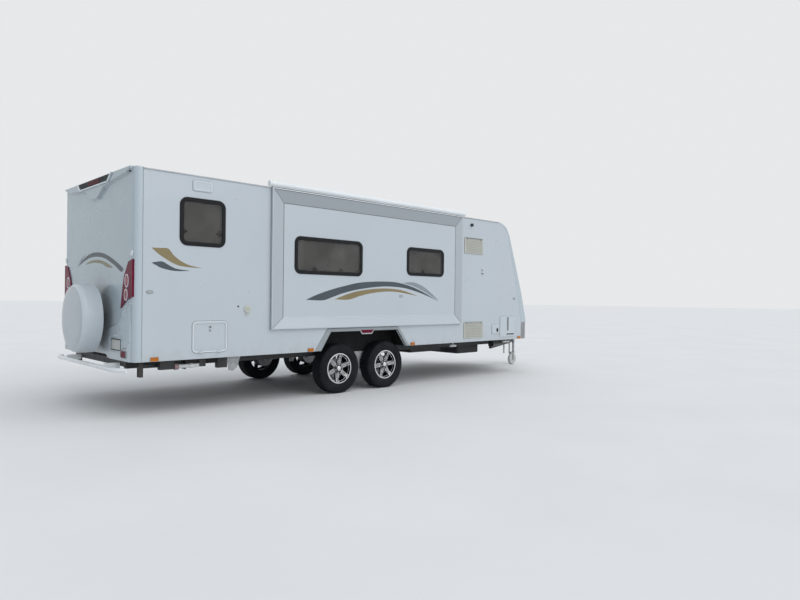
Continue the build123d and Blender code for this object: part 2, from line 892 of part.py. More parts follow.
# Door surround: a flat frame on the wall, with the grab handle beside it
surround_width = 20
surround_proud = 4
surround_gap = running_gap + 4
grab_x = door_rear_x - 130
grab_low = 1180
grab_high = 1680
grab_out = 55
grab_radius = 13
grab_foot = 40
with BuildPart() as surround:
    with BuildSketch(wall_side(1, surround_proud)):
        with Locations(door_centre):
            Rectangle(
                door_width + 2 * (surround_gap + surround_width),
                door_top - door_bottom + 2 * (surround_gap + surround_width),
            )
            Rectangle(
                door_width + 2 * surround_gap,
                door_top - door_bottom + 2 * surround_gap,
                mode=Mode.SUBTRACT,
            )
    extrude(amount=surround_proud)
    with BuildSketch(Plane.XY.offset(grab_low)):
        with Locations((grab_x, half + grab_out)):
            Circle(grab_radius)
    extrude(amount=grab_high - grab_low)
    for place in (grab_low, grab_high - grab_foot):
        block(
            (grab_x - grab_foot / 2, grab_x + grab_foot / 2),
            (half, half + grab_out),
            (place, place + grab_foot),
        )
surround.part.label = "door_surround"
export_step(surround.part, "parts/door_surround.step")

# Entry step: a ribbed tread that slides out under the door
step_width = 520
step_x = door_centre[0]
step_top = body_bottom - 56
step_thick = 40
step_depth = 260
step_front_y = half - 20
rib_count = 5
rib_pitch = 45
rib_half = 6
rib_height = 4
with BuildPart() as step:
    block(
        (step_x - step_width / 2, step_x + step_width / 2),
        (step_front_y - step_depth, step_front_y),
        (step_top - step_thick, step_top),
    )
    for i in range(rib_count):
        rib_y = step_front_y - 40 - i * rib_pitch
        block(
            (step_x - step_width / 2 + 20, step_x + step_width / 2 - 20),
            (rib_y - rib_half, rib_y + rib_half),
            (step_top, step_top + rib_height),
        )
step.part.label = "entry_step"
export_step(step.part, "parts/entry_step.step")

# Storage hatch doors, hinged along their lower edges, each with a raised rim and a lock
rim_width = 22
rim_proud = 5
lock_radius = 20
lock_drop = 75
hatch_leaf = 32
hatch_knuckle = 60
for side in (-1, 1):
    with BuildPart() as hatch:
        with BuildSketch(wall_planes[side]):
            with Locations(hatch_centre):
                RectangleRounded(
                    hatch_width - 2 * running_gap,
                    hatch_height - 2 * running_gap,
                    hatch_radius - running_gap,
                )
        extrude(amount=wall)
        with BuildSketch(wall_side(side, rim_proud)):
            with Locations(hatch_centre):
                RectangleRounded(
                    hatch_width - 2 * running_gap,
                    hatch_height - 2 * running_gap,
                    hatch_radius - running_gap,
                )
                RectangleRounded(
                    hatch_width - 2 * (running_gap + rim_width),
                    hatch_height - 2 * (running_gap + rim_width),
                    hatch_radius - running_gap - rim_width,
                    mode=Mode.SUBTRACT,
                )
            with Locations((hatch_centre[0], hatch_bottom + hatch_height - lock_drop)):
                Circle(lock_radius)
        extrude(amount=rim_proud)
        for place in (hatch_rear_x + 80, hatch_rear_x + hatch_width - 80 - hatch_knuckle):
            with BuildSketch(Plane.YZ.offset(place)):
                with Locations((side * (half + hinge_out), hatch_bottom)):
                    Circle(knuckle_radius)
                with Locations((side * (half + hinge_out / 2), hatch_bottom + hatch_leaf / 2)):
                    Rectangle(hinge_out, hatch_leaf)
            extrude(amount=hatch_knuckle)
    hatch.part.label = f"hatch_door_{side_names[side]}"
    export_step(hatch.part, f"parts/hatch_door_{side_names[side]}.step")

# Road wheels: a tyre and a six-spoke rim for each, round the stub axle
stub_radius = 22
stub_gap = 0.5
hub_bore = stub_radius + stub_gap
hub_out = 72
hub_radius = 34
barrel_half = 92
barrel_thick = 9
flange_rise = 14
disc_out = 60
disc_thick = 26
disc_inner = disc_out - disc_thick
spoke_count = 6
window_turn = {"rear": 50, "front": 35}
bead = tyre_width / 2 - 8
# Tyre outline from the middle to the shoulder. Columns: across, radius
tyre_side = [
    (barrel_half, rim_radius),
    (bead, rim_radius + 22),
    (tyre_width / 2, rim_radius + 60),
    (bead, tyre_radius - 26),
    (bead - 16, tyre_radius - 5),
    (bead - 44, tyre_radius),
]
# Outline of one window between two spokes. Columns: radius, across
rim_window = [(82, -12), (174, -67), (188, -30), (188, 30), (174, 67), (82, 12)]
for axle, place in axle_x.items():
    for side in (-1, 1):
        corner = f"{axle}_{side_names[side]}"
        centre_y = side * wheel_y
        wheel_plane = Plane(origin=(place, centre_y, tyre_radius), x_dir=(0, 1, 0), z_dir=(1, 0, 0))
        wheel_axis = Axis((place, centre_y, tyre_radius), (0, 1, 0))
        with BuildPart() as tyre:
            with BuildSketch(wheel_plane):
                with BuildLine():
                    Polyline(
                        *[(-across, radius) for across, radius in tyre_side],
                        *reversed(tyre_side),
                        close=True,
                    )
                make_face()
            revolve(axis=wheel_axis)
        tyre.part.label = f"tyre_{corner}"
        export_step(tyre.part, f"parts/tyre_{corner}.step")

        with BuildPart() as rim:
            with BuildSketch(wheel_plane):
                with BuildLine():
                    Polyline(
                        (-side * barrel_half, rim_radius),
                        (side * barrel_half, rim_radius),
                        (side * barrel_half, rim_radius - flange_rise),
                        (side * (disc_out + 8), rim_radius - 26),
                        (side * disc_out, hub_radius + 36),
                        (side * hub_out, hub_radius),
                        (side * hub_out, hub_bore),
                        (side * disc_inner, hub_bore),
                        (side * disc_inner, rim_radius - barrel_thick),
                        (-side * barrel_half, rim_radius - barrel_thick),
                        close=True,
                    )
                make_face()
            revolve(axis=wheel_axis)
            with BuildSketch(Plane.XZ.offset(-centre_y)):
                with Locations((place, tyre_radius)):
                    with PolarLocations(0, spoke_count, start_angle=window_turn[axle]):
                        Polygon(*rim_window, align=None)
            extrude(amount=-side * barrel_half, mode=Mode.SUBTRACT)
        rim.part.label = f"rim_{corner}"
        export_step(rim.part, f"parts/rim_{corner}.step")

# Suspension: trailing arms on their hangers, with brake drums, stub axles and coil springs
arm_width = 60
arm_y = wheel_y - 220
arm_under = tyre_radius - 40
arm_over = tyre_radius + 38
pivot_ahead = 430
drum_radius = 140
drum_inner_y = arm_y + arm_width / 2 - 10
drum_outer_y = wheel_y - 40
stub_start_y = drum_outer_y - 5
spring_radius = 52
spring_wire = 8
spring_turns = 4
spring_ahead = 120
spring_height = rail_bottom - arm_over
spring_pitch = (spring_height - 2 * spring_wire) / (spring_turns - 1)
spring_places = []
with BuildPart() as suspension:
    for place in axle_x.values():
        for side in (-1, 1):
            with BuildSketch(Plane.XZ.offset(-side * arm_y + arm_width / 2)):
                with BuildLine():
                    Polyline(
                        (place - 60, arm_under),
                        (place - 60, arm_over),
                        (place + 210, arm_over),
                        (place + pivot_ahead - 45, rail_bottom),
                        (place + pivot_ahead + 35, rail_bottom),
                        (place + pivot_ahead + 35, arm_under + 60),
                        (place + 60, arm_under),
                        close=True,
                    )
                make_face()
            extrude(amount=-arm_width)
            with BuildSketch(Plane.XZ.offset(-side * drum_inner_y)):
                with Locations((place, tyre_radius)):
                    Circle(drum_radius)
            extrude(amount=-side * (drum_outer_y - drum_inner_y))
            with BuildSketch(Plane.XZ.offset(-side * stub_start_y)):
                with Locations((place, tyre_radius)):
                    Circle(stub_radius)
            extrude(amount=-side * (wheel_y + disc_out - stub_start_y))
            spring_places.append((place + spring_ahead, side * arm_y))
    with Locations(*[(x, y, arm_over + spring_height / 2) for x, y in spring_places]):
        Cylinder(spring_radius - spring_wire, spring_height)
    turns = [arm_over + spring_wire + i * spring_pitch for i in range(spring_turns)]
    with Locations(*[(x, y, turn_z) for x, y in spring_places for turn_z in turns]):
        Torus(spring_radius - spring_wire, spring_wire)
suspension.part.label = "suspension"
export_step(suspension.part, "parts/suspension.step")

# Spare wheel on the rear: its carrier
spare_y = -190
spare_z = 1120
spare_width = 215
spare_inner_x = rear_x - 90
spare_outer_x = spare_inner_x - spare_width
carrier_half = 60
with BuildPart() as carrier:
    block(
        (spare_inner_x - spare_width / 2, rear_x),
        (spare_y - carrier_half, spare_y + carrier_half),
        (spare_z - carrier_half, spare_z + carrier_half),
    )
carrier.part.label = "spare_carrier"
export_step(carrier.part, "parts/spare_carrier.step")

# The spare tyre, on the carrier
spare_round = 24
with BuildPart() as spare:
    with BuildSketch(Plane.YZ.offset(spare_inner_x)):
        with Locations((spare_y, spare_z)):
            Circle(tyre_radius)
            Rectangle(2 * carrier_half, 2 * carrier_half, mode=Mode.SUBTRACT)
    extrude(amount=-spare_width)
    fillet(spare.edges().filter_by(GeomType.CIRCLE), spare_round)
spare.part.label = "spare_tyre"
export_step(spare.part, "parts/spare_tyre.step")

# Its hard drum cover, a shallow dish over the outer side. Columns: X, radius
cover_radius = 420
cover_thick = 14
cover_outer_x = rear_x - spare_reach
cover_inner_x = rear_x - 108
cover_outline = [
    (cover_inner_x, cover_radius),
    (cover_outer_x + 75, cover_radius - 4),
    (cover_outer_x + 40, cover_radius - 12),
    (cover_outer_x + 16, cover_radius - 32),
    (cover_outer_x + 5, cover_radius - 70),
    (cover_outer_x, cover_radius - 150),
    (cover_outer_x, 0),
    (spare_outer_x, 0),
    (spare_outer_x, cover_radius - 32 - cover_thick),
    (cover_inner_x, cover_radius - cover_thick),
]
cover_plane = Plane(origin=(0, spare_y, spare_z), x_dir=(1, 0, 0), z_dir=(0, -1, 0))
with BuildPart() as cover:
    with BuildSketch(cover_plane):
        with BuildLine():
            Polyline(*cover_outline, close=True)
        make_face()
    revolve(axis=Axis((0, spare_y, spare_z), (1, 0, 0)))
cover.part.label = "spare_cover"
export_step(cover.part, "parts/spare_cover.step")

# Rear bumper: a bent tube on two arms from the first cross member
bumper_x = rear_x - 131
bumper_z = body_bottom - 92
bumper_radius = 25
bumper_end_x = rear_x - 50
bumper_bend_y = half - 220
bumper_end_y = half - 80
bumper_bend = 90
bumper_arm_y = rail_inner_y - 150
bumper_arm_half = 20
with BuildPart() as bumper:
    with BuildLine() as bumper_path:
        FilletPolyline(
            (bumper_end_x, -bumper_end_y, bumper_z),
            (bumper_x, -bumper_bend_y, bumper_z),
            (bumper_x, bumper_bend_y, bumper_z),
            (bumper_end_x, bumper_end_y, bumper_z),
            radius=bumper_bend,
        )
    with BuildSketch(Plane(origin=bumper_path.line @ 0, z_dir=bumper_path.line % 0)):
        Circle(bumper_radius)
    sweep(path=bumper_path.line)
    for side in (-1, 1):
        block(
            (bumper_x, rail_rear_x),
            (side * bumper_arm_y - bumper_arm_half, side * bumper_arm_y + bumper_arm_half),
            (bumper_z - bumper_arm_half + 5, body_bottom - 40),
        )
bumper.part.label = "bumper"
export_step(bumper.part, "parts/bumper.step")

# Red lamps: the tail lamps that wrap each corner, and the low lamps on the skirt
lamp_proud = 14
low_lamp_inset = 245
low_lamp_z = body_bottom + 79
low_lamp_proud = 8
# Tail lamp outline. Columns: inset from the side, Z
tail_outline = [
    (26, 1815),
    (26, 1390),
    (200, 1350),
    (370, 1255),
    (320, 1480),
    (270, 1630),
    (150, 1790),
]
corner_form = Pos(rear_x + 300, 0, body_top / 2) * Box(600, body_width, body_top)
corner_form = fillet(corner_form.edges().filter_by(Axis.Z).group_by(Axis.X)[0], corner_radius)
with BuildPart() as red_lamps:
    for side in (-1, 1):
        with BuildSketch(Plane.YZ.offset(rear_x - lamp_proud)):
            with BuildLine():
                Polyline(*[(side * (half - inset), z) for inset, z in tail_outline], close=True)
            make_face()
        extrude(amount=lamp_proud + form_overlap)
    add(corner_form, mode=Mode.SUBTRACT)
    for side in (-1, 1):
        with BuildSketch(Plane.YZ.offset(rear_x - skirt_proud)):
            with Locations((side * (half - low_lamp_inset), low_lamp_z)):
                RectangleRounded(150, 80, 20)
        extrude(amount=-low_lamp_proud)
red_lamps.part.label = "red_lamps"
export_step(red_lamps.part, "parts/red_lamps.step")

# Amber marker lamps along the lower edge of each wall. Columns: side, X
marker_half = 45
marker_proud = 14
marker_round = 8
MARKERS = [
    (-1, rear_x + 235),
    (-1, arch_rear_x - 180),
    (-1, arch_front_x + 150),
    (-1, side_front_x - 70),
    (1, rear_x + 235),
    (1, arch_rear_x - 180),
    (1, door_hinge_x + 150),
    (1, side_front_x - 70),
]
with BuildPart() as ambers:
    for side, place in MARKERS:
        block(
            (place - marker_half, place + marker_half),
            (side * half, side * (half + marker_proud)),
            (body_bottom + 4, body_bottom + 50),
        )
    fillet(ambers.edges().filter_by(Axis.Y), marker_round)
ambers.part.label = "amber_lamps"
export_step(ambers.part, "parts/amber_lamps.step")

# Vents and covers on the walls, with slots across the vents
cover_proud = 9
cover_corner = 20
slot_depth = 5
slot_half = 6
slot_inset = 40
vent_rear_x = face_front_x + 90
# Columns: side, rear edge X, front edge X, bottom Z, top Z, number of slots
COVERS = [
    (-1, rear_x + 680, rear_x + 930, 2670, 2800, 0),
    (-1, vent_rear_x, vent_rear_x + 520, 2220, 2500, 9),
    (-1, vent_rear_x, vent_rear_x + 540, 710, 1000, 9),
    (-1, front_x - 1100, front_x - 870, 770, 940, 0),
    (-1, front_x - 850, front_x - 390, 700, 1090, 0),
    (1, front_x - 1540, front_x - 1080, 710, 1070, 0),
]
# Round fittings on the right wall: the water filler and the flue. Columns: X, Z, radius, proud
ROUNDS = [
    (rear_x + 1430, 1250, 50, 10),
    (front_x - 1720, 2730, 26, 30),
]
with BuildPart() as covers:
    for side, back, front, low, high, slots in COVERS:
        block((back, front), (side * half, side * (half + cover_proud)), (low, high))
    fillet(covers.edges().filter_by(Axis.Y), cover_corner)
    for side, back, front, low, high, slots in COVERS:
        for i in range(slots):
            slot_z = low + (high - low) * (i + 1) / (slots + 1)
            block(
                (back + slot_inset, front - slot_inset),
                (side * (half + cover_proud - slot_depth), side * (half + cover_proud + 1)),
                (slot_z - slot_half, slot_z + slot_half),
                Mode.SUBTRACT,
            )
    for place, height, radius, proud in ROUNDS:
        with BuildSketch(Plane.XZ.offset(half)):
            with Locations((place, height)):
                Circle(radius)
        extrude(amount=proud)
covers.part.label = "wall_covers"
export_step(covers.part, "parts/wall_covers.step")

# Roll-out awning on the left wall: the roll, its end caps, the wall rail and the folded arms
awning_rear_x = rear_x + 120
awning_front_x = front_x - 1660
awning_out = 95
roll_radius = 42
roll_z = body_top - 82
wall_rail_proud = 14
wall_rail_low = roll_z + 22
wall_rail_high = roll_z + 54
cap_top = roll_z + 46
arm_wide = 34
arm_deep = 30
arm_foot_z = 1030
with BuildPart() as awning:
    block(
        (awning_rear_x, awning_front_x),
        (half, half + wall_rail_proud),
        (wall_rail_low, wall_rail_high),
    )
    with BuildSketch(Plane.YZ.offset(awning_rear_x)):
        with Locations((half + awning_out - roll_radius, roll_z)):
            Circle(roll_radius)
    extrude(amount=awning_front_x - awning_rear_x)
    for place in (awning_rear_x, awning_front_x - arm_wide):
        block((place, place + arm_wide), (half, half + arm_deep), (arm_foot_z, roll_z))
        block((place, place + arm_wide), (half, half + awning_out), (roll_z - roll_radius, cap_top))
awning.part.label = "awning"
export_step(awning.part, "parts/awning.step")

# Water tanks under the floor, ahead of the wheels
tank_half = 600
tank_corner = 40
tank_bevel = 15
tank_rear_x = arch_front_x + 750
tank_front_x = drawbar_start_x - 40
tank_top = body_bottom - cross_depth
tank_gap = 460
rear_tank_share = 0.56
rear_tank_length = rear_tank_share * (tank_front_x - tank_rear_x - tank_gap)
rear_tank_end = tank_rear_x + rear_tank_length
# Columns: rear edge X, front edge X, depth
TANKS = [(tank_rear_x, rear_tank_end, 116), (rear_tank_end + tank_gap, tank_front_x, 200)]
with BuildPart() as tanks:
    for back, front, depth in TANKS:
        block((back, front), (-tank_half, tank_half), (tank_top - depth, tank_top))
    fillet(tanks.edges().filter_by(Axis.Z), tank_corner)
    under_faces = tanks.faces().filter_by(Axis.Z).filter_by(lambda f: f.center().Z < tank_top - 1)
    chamfer(under_faces.edges(), tank_bevel)
tanks.part.label = "water_tanks"
export_step(tanks.part, "parts/water_tanks.step")

# Jockey wheel: the outer tube with its clamp and winding handle
jockey_x = drawbar_tip_x - 240
jockey_y = -300
jockey_radius = 120
jockey_width = 62
jockey_trail = 45
stem_radius = 24
tube_radius = 30
tube_bottom = drawbar_bottom + 24
tube_top = drawbar_top + 414
tube_cap = 14
clamp_half = 35
clamp_thick = 12
clamp_near_y = jockey_y + stem_radius + 2
rail_face_y = drawbar_tip_y + rail_width / 2 + drawbar_slope * (drawbar_tip_x - jockey_x)
crank_reach = 130
crank_radius = 8
crank_z = tube_top + tube_cap + 26
crank_grip = 70
with BuildPart() as jockey_tube:
    with BuildSketch(Plane.XY.offset(tube_bottom)):
        with Locations((jockey_x, jockey_y)):
            Circle(tube_radius)
            Circle(stem_radius + seat_gap, mode=Mode.SUBTRACT)
    extrude(amount=tube_top - tube_bottom)
    block(
        (jockey_x - clamp_half, jockey_x + clamp_half),
        (clamp_near_y, clamp_thick - rail_face_y),
        (drawbar_top, drawbar_top + clamp_thick),
    )
    block(
        (jockey_x - clamp_half, jockey_x + clamp_half),
        (clamp_near_y, jockey_y + tube_radius + 8),
        (drawbar_bottom + 40, drawbar_top + 60),
    )
    with BuildSketch(Plane.XY.offset(tube_top)):
        with Locations((jockey_x, jockey_y)):
            Circle(tube_radius)
    extrude(amount=tube_cap)
    with BuildSketch(Plane.XY.offset(tube_top + tube_cap)):
        with Locations((jockey_x, jockey_y)):
            Circle(crank_radius)
    extrude(amount=crank_z - tube_top - tube_cap)
    block(
        (jockey_x - crank_radius, jockey_x + crank_radius),
        (jockey_y - crank_reach, jockey_y + crank_radius),
        (crank_z, crank_z + 6),
    )
    with BuildSketch(Plane.XY.offset(crank_z)):
        with Locations((jockey_x, jockey_y - crank_reach)):
            Circle(crank_radius)
    extrude(amount=crank_grip)
jockey_tube.part.label = "jockey_tube"
export_step(jockey_tube.part, "parts/jockey_tube.step")

# Jockey stem, which winds up inside the tube
crown_bottom = 2 * jockey_radius + 15
crown_top = crown_bottom + 14
stem_in_tube = 260
with BuildPart() as stem:
    with BuildSketch(Plane.XY.offset(crown_top + seat_gap)):
        with Locations((jockey_x, jockey_y)):
            Circle(stem_radius)
    extrude(amount=tube_bottom + stem_in_tube - crown_top)
stem.part.label = "jockey_stem"
export_step(stem.part, "parts/jockey_stem.step")

# Jockey fork with its axle pin
pin_radius = 8
fork_thick = 6
fork_half = jockey_width / 2 + 5
cheek_half = 25
with BuildPart() as fork:
    block(
        (jockey_x - jockey_trail - 30, jockey_x + 32),
        (jockey_y - fork_half - fork_thick, jockey_y + fork_half + fork_thick),
        (crown_bottom, crown_top),
    )
    for side in (-1, 1):
        near = jockey_y + side * fork_half
        block(
            (jockey_x - jockey_trail - cheek_half, jockey_x - jockey_trail + cheek_half),
            (near, near + side * fork_thick),
            (jockey_radius - cheek_half, crown_top),
        )
    with BuildSketch(Plane.XZ.offset(-jockey_y + fork_half)):
        with Locations((jockey_x - jockey_trail, jockey_radius)):
            Circle(pin_radius)
    extrude(amount=-2 * fork_half)
fork.part.label = "jockey_fork"
export_step(fork.part, "parts/jockey_fork.step")

# The jockey's small wheel
roller_round = 14
with BuildPart() as roller:
    with BuildSketch(Plane.XZ.offset(-jockey_y + jockey_width / 2)):
        with Locations((jockey_x - jockey_trail, jockey_radius)):
            Circle(jockey_radius)
            Circle(pin_radius + seat_gap, mode=Mode.SUBTRACT)
    extrude(amount=-jockey_width)
    outer_edges = roller.edges().filter_by(GeomType.CIRCLE)
    fillet(outer_edges.filter_by(lambda e: e.radius > jockey_radius - 1), roller_round)
roller.part.label = "jockey_wheel"
export_step(roller.part, "parts/jockey_wheel.step")

# Brackets under the floor: the steadies' cheeks with their pins, and the guides of the step
steady_size = 40
steady_length = 520
steady_pivot_z = body_bottom - 68
steady_y = half - 180
steady_cheek = 8
steady_cheek_half = 25
guide_thick = 12
# Columns: end, pivot X, direction in which the folded leg points, cheek's reach below the pivot
STEADIES = [("rear", rear_x + 145, 1, 123), ("front", front_x - 360, -1, 25)]
with BuildPart() as brackets:
    for end, place, run, reach in STEADIES:
        for side in (-1, 1):
            for edge in (-1, 1):
                near = side * steady_y + edge * (steady_size / 2 + seat_gap)
                block(
                    (place - steady_cheek_half, place + steady_cheek_half),
                    (near, near + edge * steady_cheek),
                    (steady_pivot_z - reach, body_bottom),
                )
            with BuildSketch(Plane.XZ.offset(-side * steady_y + steady_size / 2 + steady_cheek)):
                with Locations((place, steady_pivot_z)):
                    Circle(pin_radius)
            extrude(amount=-steady_size - 2 * steady_cheek)
    for side in (-1, 1):
        edge = step_x + side * (step_width / 2 + seat_gap)
        block(
            (edge, edge + side * guide_thick),
            (rail_y + rail_width / 2, half - 60),
            (step_top - step_thick - 10, body_bottom),
        )
brackets.part.label = "floor_brackets"
export_step(brackets.part, "parts/floor_brackets.step")

# Corner steadies: the folded leg of each, with its foot plate
foot_thick = 8
foot_half = 60
for end, place, run, reach in STEADIES:
    for side in (-1, 1):
        with BuildPart() as leg:
            block(
                (place - run * steady_size / 2, place + run * steady_length),
                (side * steady_y - steady_size / 2, side * steady_y + steady_size / 2),
                (steady_pivot_z - steady_size / 2, steady_pivot_z + steady_size / 2),
            )
            block(
                (place + run * steady_length, place + run * (steady_length + foot_thick)),
                (side * steady_y - foot_half, side * steady_y + foot_half),
                (steady_pivot_z - foot_half, steady_pivot_z + foot_half - 5),
            )
            with BuildSketch(Plane.XZ.offset(-side * steady_y + steady_size)):
                with Locations((place, steady_pivot_z)):
                    Circle(pin_radius + seat_gap)
            extrude(amount=-2 * steady_size, mode=Mode.SUBTRACT)
        leg.part.label = f"steady_{end}_{side_names[side]}"
        export_step(leg.part, f"parts/steady_{end}_{side_names[side]}.step")
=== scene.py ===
import math

import bpy
from mathutils import Matrix, Vector


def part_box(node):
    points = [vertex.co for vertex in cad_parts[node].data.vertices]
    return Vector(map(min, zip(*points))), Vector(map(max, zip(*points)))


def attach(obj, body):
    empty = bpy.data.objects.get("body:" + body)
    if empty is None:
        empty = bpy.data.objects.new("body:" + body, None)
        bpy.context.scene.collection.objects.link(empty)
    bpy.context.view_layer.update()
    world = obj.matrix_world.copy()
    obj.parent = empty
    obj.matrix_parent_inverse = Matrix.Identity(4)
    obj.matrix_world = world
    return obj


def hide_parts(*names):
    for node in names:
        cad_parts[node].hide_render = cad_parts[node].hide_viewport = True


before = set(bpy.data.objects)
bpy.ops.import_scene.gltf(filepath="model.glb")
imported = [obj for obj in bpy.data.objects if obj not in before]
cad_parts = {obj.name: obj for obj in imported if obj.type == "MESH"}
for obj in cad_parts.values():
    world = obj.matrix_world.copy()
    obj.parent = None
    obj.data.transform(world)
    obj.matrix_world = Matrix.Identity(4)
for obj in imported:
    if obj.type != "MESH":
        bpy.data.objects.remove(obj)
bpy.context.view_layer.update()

# The view: from behind the right rear corner, a little below window height. Its place and lens
# come from the body's own edges.
VIEW_FROM = Vector((-7.069, -8.314, 1.397))
VIEW_YAW, VIEW_PITCH, VIEW_ROLL = (math.radians(a) for a in (45.83, -0.095, 0.625))
ahead = Vector((math.cos(VIEW_YAW), math.sin(VIEW_YAW), math.tan(VIEW_PITCH))).normalized()
level = Vector((math.sin(VIEW_YAW), -math.cos(VIEW_YAW), 0))
upward = level.cross(ahead)
across = math.cos(VIEW_ROLL) * level + math.sin(VIEW_ROLL) * upward
upright = across.cross(-ahead).normalized() * -1
camera_data = bpy.data.cameras.new("view_camera")
camera_data.lens = 27.88
camera_data.sensor_width = 36
camera_data.clip_end = 400
camera = bpy.data.objects.new("view_camera", camera_data)
camera.matrix_world = Matrix(
    [(across[i], upright[i], -ahead[i], VIEW_FROM[i]) for i in range(3)] + [(0, 0, 0, 1)]
)
bpy.context.collection.objects.link(camera)
bpy.context.scene.camera = camera
bpy.context.scene.view_settings.view_transform = "Standard"


# The studio: an even sky, brighter overhead and towards the front, one wide soft lamp on the
# slide-out's side, and a pale floor that runs on to the backdrop.
BACKDROP = (0.80, 0.81, 0.82)
SKY_TOP = (0.93, 0.96, 1.0)
SKY_LOW = (0.60, 0.64, 0.68)
SKY_BEHIND, SKY_AHEAD = 0.66, 1.16
FLOOR_HALF = 160.0


def step(made, kind, feeds=(), **settings):
    """One node of a finish or of the sky. Feeds pair a socket with a value or with an output."""
    new = made.node_tree.nodes.new(kind)
    for key, value in settings.items():
        setattr(new, key, value)
    for key, value in feeds:
        if isinstance(value, bpy.types.NodeSocket):
            made.node_tree.links.new(value, new.inputs[key])
        else:
            new.inputs[key].default_value = value
    return new


def sums(made, operation, *values):
    """One sum on numbers."""
    return step(made, "ShaderNodeMath", enumerate(values), operation=operation).outputs[0]


def spread(made, value, start, end, low=0.0, high=1.0):
    """Goes from low to high as value goes from start to end."""
    feeds = [("Value", value), ("From Min", start), ("From Max", end), ("To Min", low), ("To Max", high)]
    return step(made, "ShaderNodeMapRange", feeds).outputs["Result"]


def ramp(made, fac, *stops):
    """Colours or greys by how strong fac is. Each stop is a place and a colour."""
    new = step(made, "ShaderNodeValToRGB", [("Fac", fac)])
    rungs = new.color_ramp.elements
    while len(rungs) < len(stops):
        rungs.new(0.5)
    for rung, (at, colour) in zip(rungs, stops):
        rung.position = at
        rung.color = (*colour, 1)
    return new.outputs["Color"]


world = bpy.data.worlds.new("studio")
bpy.context.scene.world = world
world.use_nodes = True
world.node_tree.nodes.clear()
sky_way = step(world, "ShaderNodeTexCoord").outputs["Generated"]
sky_way = step(world, "ShaderNodeSeparateXYZ", [(0, sky_way)]).outputs
sky_tone = ramp(world, spread(world, sky_way["Z"], -0.3, 1.0), (0.0, SKY_LOW), (1.0, SKY_TOP))
sky_strength = spread(world, sky_way["X"], -1.0, 1.0, SKY_BEHIND, SKY_AHEAD)
sky_light = step(world, "ShaderNodeBackground", [("Color", sky_tone), ("Strength", sky_strength)])
sky_seen = step(world, "ShaderNodeBackground", [("Color", (*BACKDROP, 1))])
rays = step(world, "ShaderNodeLightPath").outputs
shown = sums(world, "MAXIMUM", rays["Is Camera Ray"], rays["Is Glossy Ray"])
shown = sums(world, "MAXIMUM", shown, rays["Is Transmission Ray"])
sky_feeds = [(0, shown), (1, sky_light.outputs[0]), (2, sky_seen.outputs[0])]
sky = step(world, "ShaderNodeMixShader", sky_feeds)
step(world, "ShaderNodeOutputWorld", [(0, sky.outputs[0])])

lamp_data = bpy.data.lights.new("soft_side", "SUN")
lamp_data.energy = 0.95
lamp_data.angle = math.radians(75)
lamp_data.color = (1.0, 0.985, 0.96)
lamp = bpy.data.objects.new("soft_side", lamp_data)
lamp.rotation_euler = Vector((-0.25, 0.85, -0.9)).to_track_quat("-Z", "Y").to_euler()
bpy.context.collection.objects.link(lamp)


def finish(name, colour, rough, metal=0.0, coat=0.0, alpha=1.0, shine=0.5):
    """A new finish with one shader."""
    made = bpy.data.materials.new(name)
    made.use_nodes = True
    shader = made.node_tree.nodes["Principled BSDF"]
    shader.inputs["Base Color"].default_value = (*colour, 1)
    shader.inputs["Roughness"].default_value = rough
    shader.inputs["Metallic"].default_value = metal
    shader.inputs["Coat Weight"].default_value = coat
    shader.inputs["Alpha"].default_value = alpha
    shader.inputs["Specular IOR Level"].default_value = shine
    return made


def place_of(made):
    """Where a point lies on the caravan, in metres."""
    return step(made, "ShaderNodeTexCoord").outputs["Object"]


def cloud(made, scale, detail=4.0, place=None):
    """Soft random patches of about 1/scale metres."""
    feeds = [("Vector", place or place_of(made)), ("Scale", scale), ("Detail", detail)]
    return step(made, "ShaderNodeTexNoise", feeds).outputs["Fac"]


def into(made, socket, value):
    """Feeds a socket of the finish's shader."""
    made.node_tree.links.new(value, made.node_tree.nodes["Principled BSDF"].inputs[socket])


def relief(made, height, depth, strength=1.0):
    """Raises the surface by height times depth, in metres, on top of what is there."""
    bump = step(made, "ShaderNodeBump", [("Height", height), ("Distance", depth), ("Strength", strength)])
    last = made.node_tree.nodes["Principled BSDF"].inputs["Normal"]
    if last.links:
        made.node_tree.links.new(last.links[0].from_socket, bump.inputs["Normal"])
    into(made, "Normal", bump.outputs["Normal"])


def scaled(colour, by):
    """The same colour, paler or darker."""
    return tuple(min(1.0, c * by) for c in colour)


def grained(name, colour, rough, patch=3.0, vary=0.06, grain=350.0, depth=0.00015, **more):
    """A finish whose colour and roughness drift in patches, with a fine grain."""
    made = finish(name, colour, rough, **more)
    tones = (0.3, scaled(colour, 1 - vary)), (0.7, scaled(colour, 1 + vary))
    into(made, "Base Color", ramp(made, cloud(made, patch), *tones))
    gloss = (0.3, (max(0.0, rough - 0.06),) * 3), (0.7, (min(1.0, rough + 0.08),) * 3)
    into(made, "Roughness", ramp(made, cloud(made, patch * 7), *gloss))
    relief(made, cloud(made, grain, detail=2.0), depth)
    return made


floor_paint = grained("studio_floor", (0.72, 0.73, 0.74), 0.75, patch=0.6, vary=0.02, grain=40.0)
floor_mesh = bpy.data.meshes.new("studio_floor")
floor_corners = [(x * FLOOR_HALF, y * FLOOR_HALF, 0) for x, y in ((-1, -1), (1, -1), (1, 1), (-1, 1))]
floor_mesh.from_pydata(floor_corners, [], [(0, 1, 2, 3)])
floor_mesh.materials.append(floor_paint)
studio_floor = bpy.data.objects.new("studio_floor", floor_mesh)
bpy.context.collection.objects.link(studio_floor)


